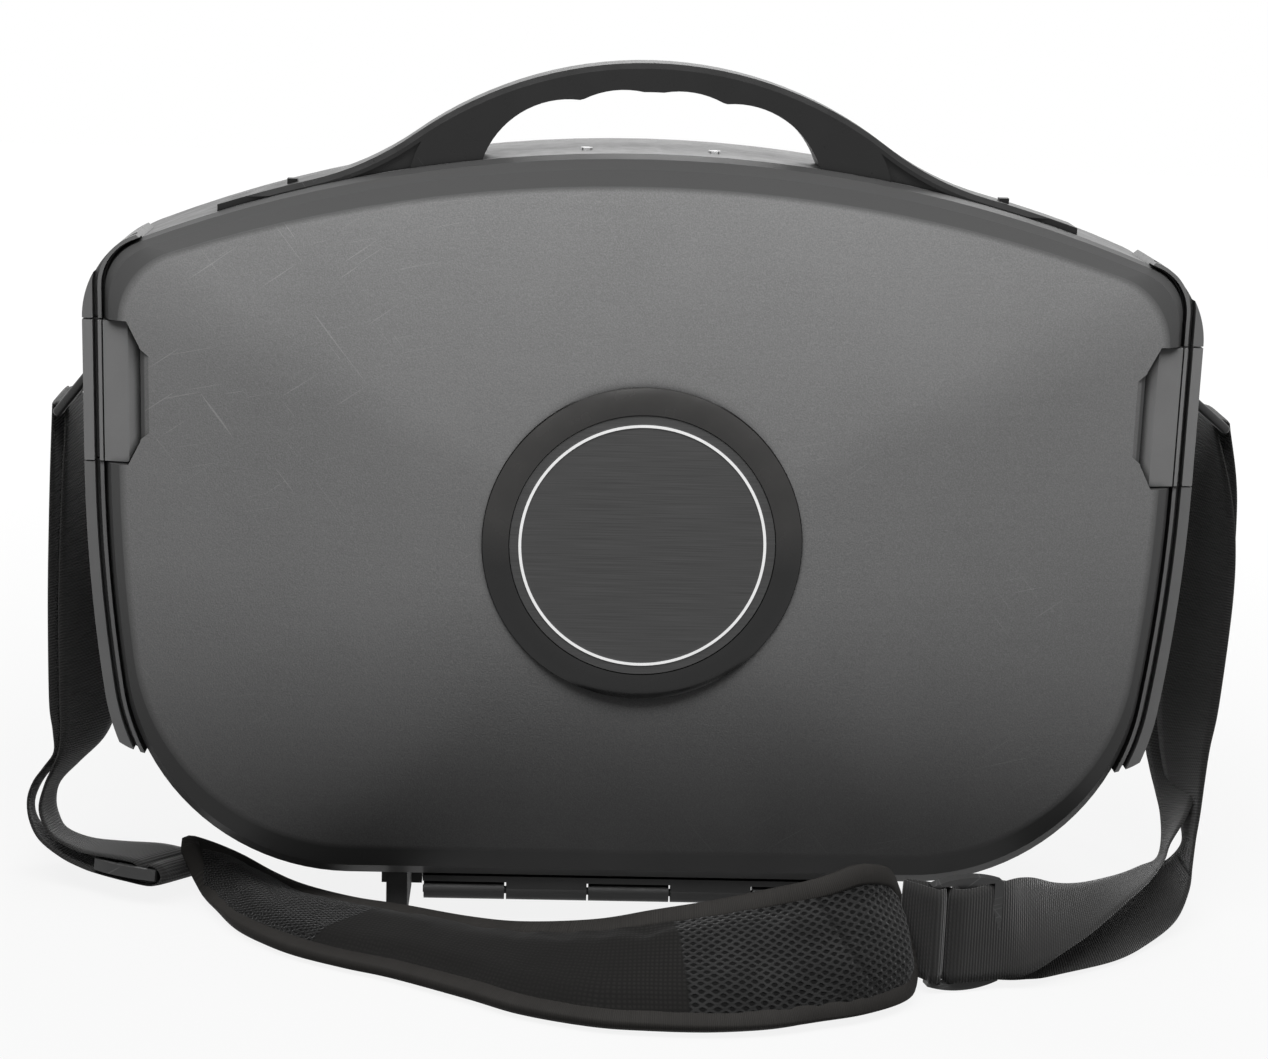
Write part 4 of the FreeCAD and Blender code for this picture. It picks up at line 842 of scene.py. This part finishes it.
def pad_grids():
    """Upper and lower grids of the pad and its middle sheet, with thin edges and rounded corners."""
    rows = [list(np.array(near) * MM) + list(np.array(far) * MM) for near, far in PAD_EDGES]
    course, length = smooth_course(rows, PAD_ROWS)
    near, far = course[:, :3], course[:, 3:]
    middle = (near + far) / 2
    along = unit(np.gradient(middle, axis=0))
    half = (far - near) / 2
    normal = unit(np.cross(along, half))
    to_left = np.linspace(0, 1, PAD_ROWS) * length
    to_right = (1 - np.linspace(0, 1, PAD_ROWS)) * length
    half_width = np.linalg.norm(half, axis=1)
    narrow = np.ones(PAD_ROWS)
    for to_end, corner in ((to_right, RIGHT_CORNER), (to_left, LEFT_CORNER)):
        round_in = np.clip(1 - to_end / corner, 0, 1)
        narrow -= corner * (1 - np.sqrt(np.clip(1 - round_in ** 2, 0, 1))) / half_width
    share = np.linspace(-1, 1, PAD_ACROSS)
    sheet = middle[:, None] + (half * narrow[:, None])[:, None] * share[None, :, None]
    thick = PAD_HALF * np.clip(1 - np.abs(share) ** 2.4, 0, 1) ** 0.6 + PAD_RIM_HALF
    ends = np.minimum(1, to_left / LEFT_TAPER + END_SHARE)
    ends = np.minimum(ends, to_right / RIGHT_TAPER + END_SHARE)
    lift = normal[:, None] * (thick[None, :] * ends[:, None])[:, :, None]
    return sheet + lift, sheet - lift, sheet, length


def apply_all(item):
    """Replaces an object's mesh by what its modifiers make of it."""
    bpy.context.view_layer.update()
    graph = bpy.context.evaluated_depsgraph_get()
    final = bpy.data.meshes.new_from_object(item.evaluated_get(graph), depsgraph=graph)
    item.modifiers.clear()
    item.data = final


def points_of(mesh):
    flat = np.zeros(len(mesh.vertices) * 3, np.float32)
    mesh.vertices.foreach_get("co", flat)
    return flat.reshape(-1, 3).astype(float)


def put_points(mesh, points):
    mesh.vertices.foreach_set("co", points.astype(np.float32).ravel())
    mesh.update()


VOXEL = 0.005
PRESSURE = 4.0
FRAMES = 20
MAX_SWELL = 0.0035


def puff(item, inside):
    """Lets pressure fill the cover out, each point moving only so far."""
    even = item.modifiers.new("even", "REMESH")
    even.mode = "VOXEL"
    even.voxel_size = VOXEL
    even.use_smooth_shade = True
    apply_all(item)
    start = points_of(item.data)
    cloth = item.modifiers.new("fill", "CLOTH")
    cloth.settings.use_pressure = True
    cloth.settings.uniform_pressure_force = PRESSURE
    cloth.settings.effector_weights.gravity = 0
    cloth.settings.quality = 5
    cloth.point_cache.frame_start = 1
    cloth.point_cache.frame_end = FRAMES
    for step in range(1, FRAMES + 1):
        scene.frame_set(step)
    apply_all(item)
    scene.frame_set(1)
    end = points_of(item.data)
    move = end - start
    far = np.linalg.norm(move, axis=1)
    room = MAX_SWELL * inside(start)
    limit = np.minimum(1, room / np.maximum(far, 1e-9))
    put_points(item.data, start + move * limit[:, None])


def cloth_spots(points, sheet):
    """Lengthwise and crosswise cloth coordinates of points near the sheet, in metres."""
    middle = sheet[:, sheet.shape[1] // 2]
    travelled = np.concatenate([[0], np.cumsum(np.linalg.norm(np.diff(middle, axis=0), axis=1))])
    along = unit(np.gradient(middle, axis=0))
    crosswise = unit(sheet[:, -1] - sheet[:, 0])
    spots = []
    for point in points:
        offset = point - middle
        straight = np.sum(offset ** 2, axis=1)
        sideways = np.sum(offset * crosswise, axis=1) ** 2
        row = int(np.argmin(straight - sideways))
        away = point - middle[row]
        spots.append((travelled[row] + away @ along[row], away @ crosswise[row]))
    return np.array(spots)


def outline_of(sheet):
    return np.vstack([sheet[:, 0], sheet[-1, 1:], sheet[-2::-1, -1], sheet[0, -2:0:-1]])


def edge_gap(points, sheet):
    """How far each point lies from the sheet's outline."""
    outline = outline_of(sheet)
    return np.array([np.sqrt(np.min(np.sum((outline - point) ** 2, axis=1))) for point in points])


SWELL_FROM = 0.4
SWELL_OVER = 0.012


def add_pad():
    upper, lower, sheet, length = pad_grids()
    data = shell_mesh("shoulder_cushion", upper, lower, np.linspace(0, length, PAD_ROWS))
    pad = add_object("shoulder_cushion", data, ["pad"])
    puff(pad, lambda points: np.clip(edge_gap(points, sheet) / SWELL_OVER - SWELL_FROM, 0, 1))
    smooth = pad.modifiers.new("smooth", "SUBSURF")
    smooth.levels = 1
    smooth.render_levels = 1
    apply_all(pad)
    points = points_of(pad.data)
    points[:, 2] = np.maximum(points[:, 2], FLOOR_ROOM)
    put_points(pad.data, points)
    spots = cloth_spots(points, sheet)
    cloth = pad.data.uv_layers.new(name="cloth")
    corners = np.zeros(len(pad.data.loops), np.int32)
    pad.data.loops.foreach_get("vertex_index", corners)
    cloth.data.foreach_set("uv", spots[corners].astype(np.float32).ravel())
    for polygon in pad.data.polygons:
        polygon.use_smooth = True
    return pad, sheet


TAPE_SIDES = 12
TAPE_HALF_WIDE = 0.0052
TAPE_HALF_THICK = 0.0034
TAPE_STEP = 0.004
TAPE_SQUARE = 0.5
SET_IN = 0.75


def squared(value):
    """A sine or cosine drawn out toward a square."""
    return math.copysign(abs(value) ** TAPE_SQUARE, value)


def add_binding(name, rim, middle):
    """A flat tape folded over the edge that the rim points follow, closed on itself."""
    count = len(rim)
    along = unit(np.roll(rim, -1, axis=0) - np.roll(rim, 1, axis=0))
    inward = unit(middle - rim)
    inward = unit(inward - along * np.sum(inward * along, axis=1)[:, None])
    normal = np.cross(along, inward)
    travelled = np.concatenate([[0], np.cumsum(np.linalg.norm(np.diff(rim, axis=0), axis=1))])
    mesh = bmesh.new()
    cloth = mesh.loops.layers.uv.new("cloth")
    rings = []
    for i in range(count):
        ring = []
        for k in range(TAPE_SIDES):
            angle = 2 * math.pi * k / TAPE_SIDES
            reach = squared(math.cos(angle)) + SET_IN
            rise = squared(math.sin(angle))
            spot = rim[i] + inward[i] * reach * TAPE_HALF_WIDE + normal[i] * rise * TAPE_HALF_THICK
            spot[2] = max(spot[2], FLOOR_ROOM)
            ring.append(mesh.verts.new(spot))
        rings.append(ring)
    for i in range(count):
        after = (i + 1) % count
        for k in range(TAPE_SIDES):
            beside = (k + 1) % TAPE_SIDES
            made = mesh.faces.new((rings[i][k], rings[i][beside], rings[after][beside], rings[after][k]))
            made.smooth = True
            for loop, step in zip(made.loops, (0, 0, 1, 1)):
                loop[cloth].uv = (travelled[i] + step * TAPE_STEP, k / TAPE_SIDES)
    bmesh.ops.recalc_face_normals(mesh, faces=mesh.faces)
    data = bpy.data.meshes.new(name)
    mesh.to_mesh(data)
    mesh.free()
    return add_object(name, data, ["binding"])


END_ROWS = 4

pad, pad_sheet = add_pad()
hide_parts("shoulder_pad")
lay_flat(pad)
pad_rim = outline_of(pad_sheet)
pad_spine = pad_sheet[:, PAD_ACROSS // 2]
inner_spine = pad_spine[END_ROWS:-END_ROWS]
nearest = [int(np.argmin(np.sum((inner_spine - point) ** 2, axis=1))) for point in pad_rim]
binding = add_binding("pad_binding", pad_rim, inner_spine[nearest])
lay_flat(binding)


# The right slider stands on edge in the strap; a copy of its shaped mesh is attached to the base

slider_node = nodes["strap_slider_right"]
graph = bpy.context.evaluated_depsgraph_get()
slider_mesh = bpy.data.meshes.new_from_object(slider_node.evaluated_get(graph))
slider_mesh.transform(slider_node.matrix_world)
slider = bpy.data.objects.new("slider_right", slider_mesh)
scene.collection.objects.link(slider)
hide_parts("strap_slider_right")
lay_flat(slider)


# Floor, lights and background

FLOOR_HALF = 4.0
FLOOR_BELOW = 0.0004
FLOOR_TONE = 0.06
GLOW_NEAR = 0.35
GLOW_FAR = 1.5
GLOW_LEAST = 0.87
SKY_LOW = 0.02
SKY_HIGH = 0.30
TOP_LIGHT_X = 0.40
TOP_LIGHT_POWER = 13.5
BACK_LIGHT_POWER = 22.0


def seen_rays(tree):
    """One for rays that see the background: straight, mirrored or through glass."""
    path = tree.nodes.new("ShaderNodeLightPath")
    total = path.outputs["Is Camera Ray"]
    for kind in ("Is Glossy Ray", "Is Transmission Ray"):
        either = tree.nodes.new("ShaderNodeMath")
        either.operation = "MAXIMUM"
        tree.links.new(total, either.inputs[0])
        tree.links.new(path.outputs[kind], either.inputs[1])
        total = either.outputs["Value"]
    return total


def add_floor():
    """A matt floor that keeps the shadow and is white where the background is seen."""
    mesh = bmesh.new()
    bmesh.ops.create_grid(mesh, x_segments=8, y_segments=8, size=FLOOR_HALF)
    data = bpy.data.meshes.new("floor")
    mesh.to_mesh(data)
    mesh.free()
    floor = bpy.data.objects.new("floor", data)
    floor.location.z = -FLOOR_BELOW
    scene.collection.objects.link(floor)
    material = bpy.data.materials.new("floor")
    material.use_nodes = True
    tree = material.node_tree
    tree.nodes.clear()
    matt = tree.nodes.new("ShaderNodeBsdfDiffuse")
    matt.inputs["Color"].default_value = (*grey(FLOOR_TONE), 1)
    glow = tree.nodes.new("ShaderNodeEmission")
    share = tree.nodes.new("ShaderNodeMath")
    share.operation = "MULTIPLY"
    place = tree.nodes.new("ShaderNodeTexCoord")
    far = tree.nodes.new("ShaderNodeVectorMath")
    far.operation = "LENGTH"
    tree.links.new(place.outputs["Object"], far.inputs[0])
    fade = map_range(tree, far.outputs["Value"], GLOW_NEAR, GLOW_FAR, GLOW_LEAST, 1.0)
    tree.links.new(fade, share.inputs[1])
    tree.links.new(seen_rays(tree), share.inputs[0])
    tree.links.new(share.outputs["Value"], glow.inputs["Strength"])
    both = tree.nodes.new("ShaderNodeAddShader")
    tree.links.new(matt.outputs["BSDF"], both.inputs[0])
    tree.links.new(glow.outputs["Emission"], both.inputs[1])
    output = tree.nodes.new("ShaderNodeOutputMaterial")
    tree.links.new(both.outputs["Shader"], output.inputs["Surface"])
    data.materials.append(material)


def add_light(name, at, target, wide, high, power):
    data = bpy.data.lights.new(name, "AREA")
    data.shape = "RECTANGLE"
    data.size = wide
    data.size_y = high
    data.energy = power
    light = bpy.data.objects.new(name, data)
    light.location = at
    light.rotation_euler = (Vector(target) - Vector(at)).to_track_quat("-Z", "Y").to_euler()
    scene.collection.objects.link(light)


def add_world():
    """White where it is seen or mirrored; as light, pale above and dim at the sides."""
    world = bpy.data.worlds.new("studio")
    world.use_nodes = True
    tree = world.node_tree
    tree.nodes.clear()
    texture = tree.nodes.new("ShaderNodeTexCoord")
    split = tree.nodes.new("ShaderNodeSeparateXYZ")
    tree.links.new(texture.outputs["Generated"], split.inputs["Vector"])
    upward = map_range(tree, split.outputs["Z"], -0.1, 0.9, SKY_LOW, SKY_HIGH)
    strength = tree.nodes.new("ShaderNodeMix")
    tree.links.new(seen_rays(tree), strength.inputs[0])
    tree.links.new(upward, strength.inputs[2])
    strength.inputs[3].default_value = 1.0
    background = tree.nodes.new("ShaderNodeBackground")
    background.inputs["Color"].default_value = (1, 1, 1, 1)
    tree.links.new(strength.outputs[0], background.inputs["Strength"])
    output = tree.nodes.new("ShaderNodeOutputWorld")
    tree.links.new(background.outputs["Background"], output.inputs["Surface"])
    scene.world = world


add_floor()
for side, x in (("left", -TOP_LIGHT_X), ("right", TOP_LIGHT_X)):
    add_light("top_" + side, (x, -0.66, 1.22), (x / 2, -0.05, 0.25), 0.9, 0.5, TOP_LIGHT_POWER)
add_light("back", (0.3, 1.6, 1.7), (0.0, 0.0, 0.2), 1.4, 1.0, BACK_LIGHT_POWER)
add_world()
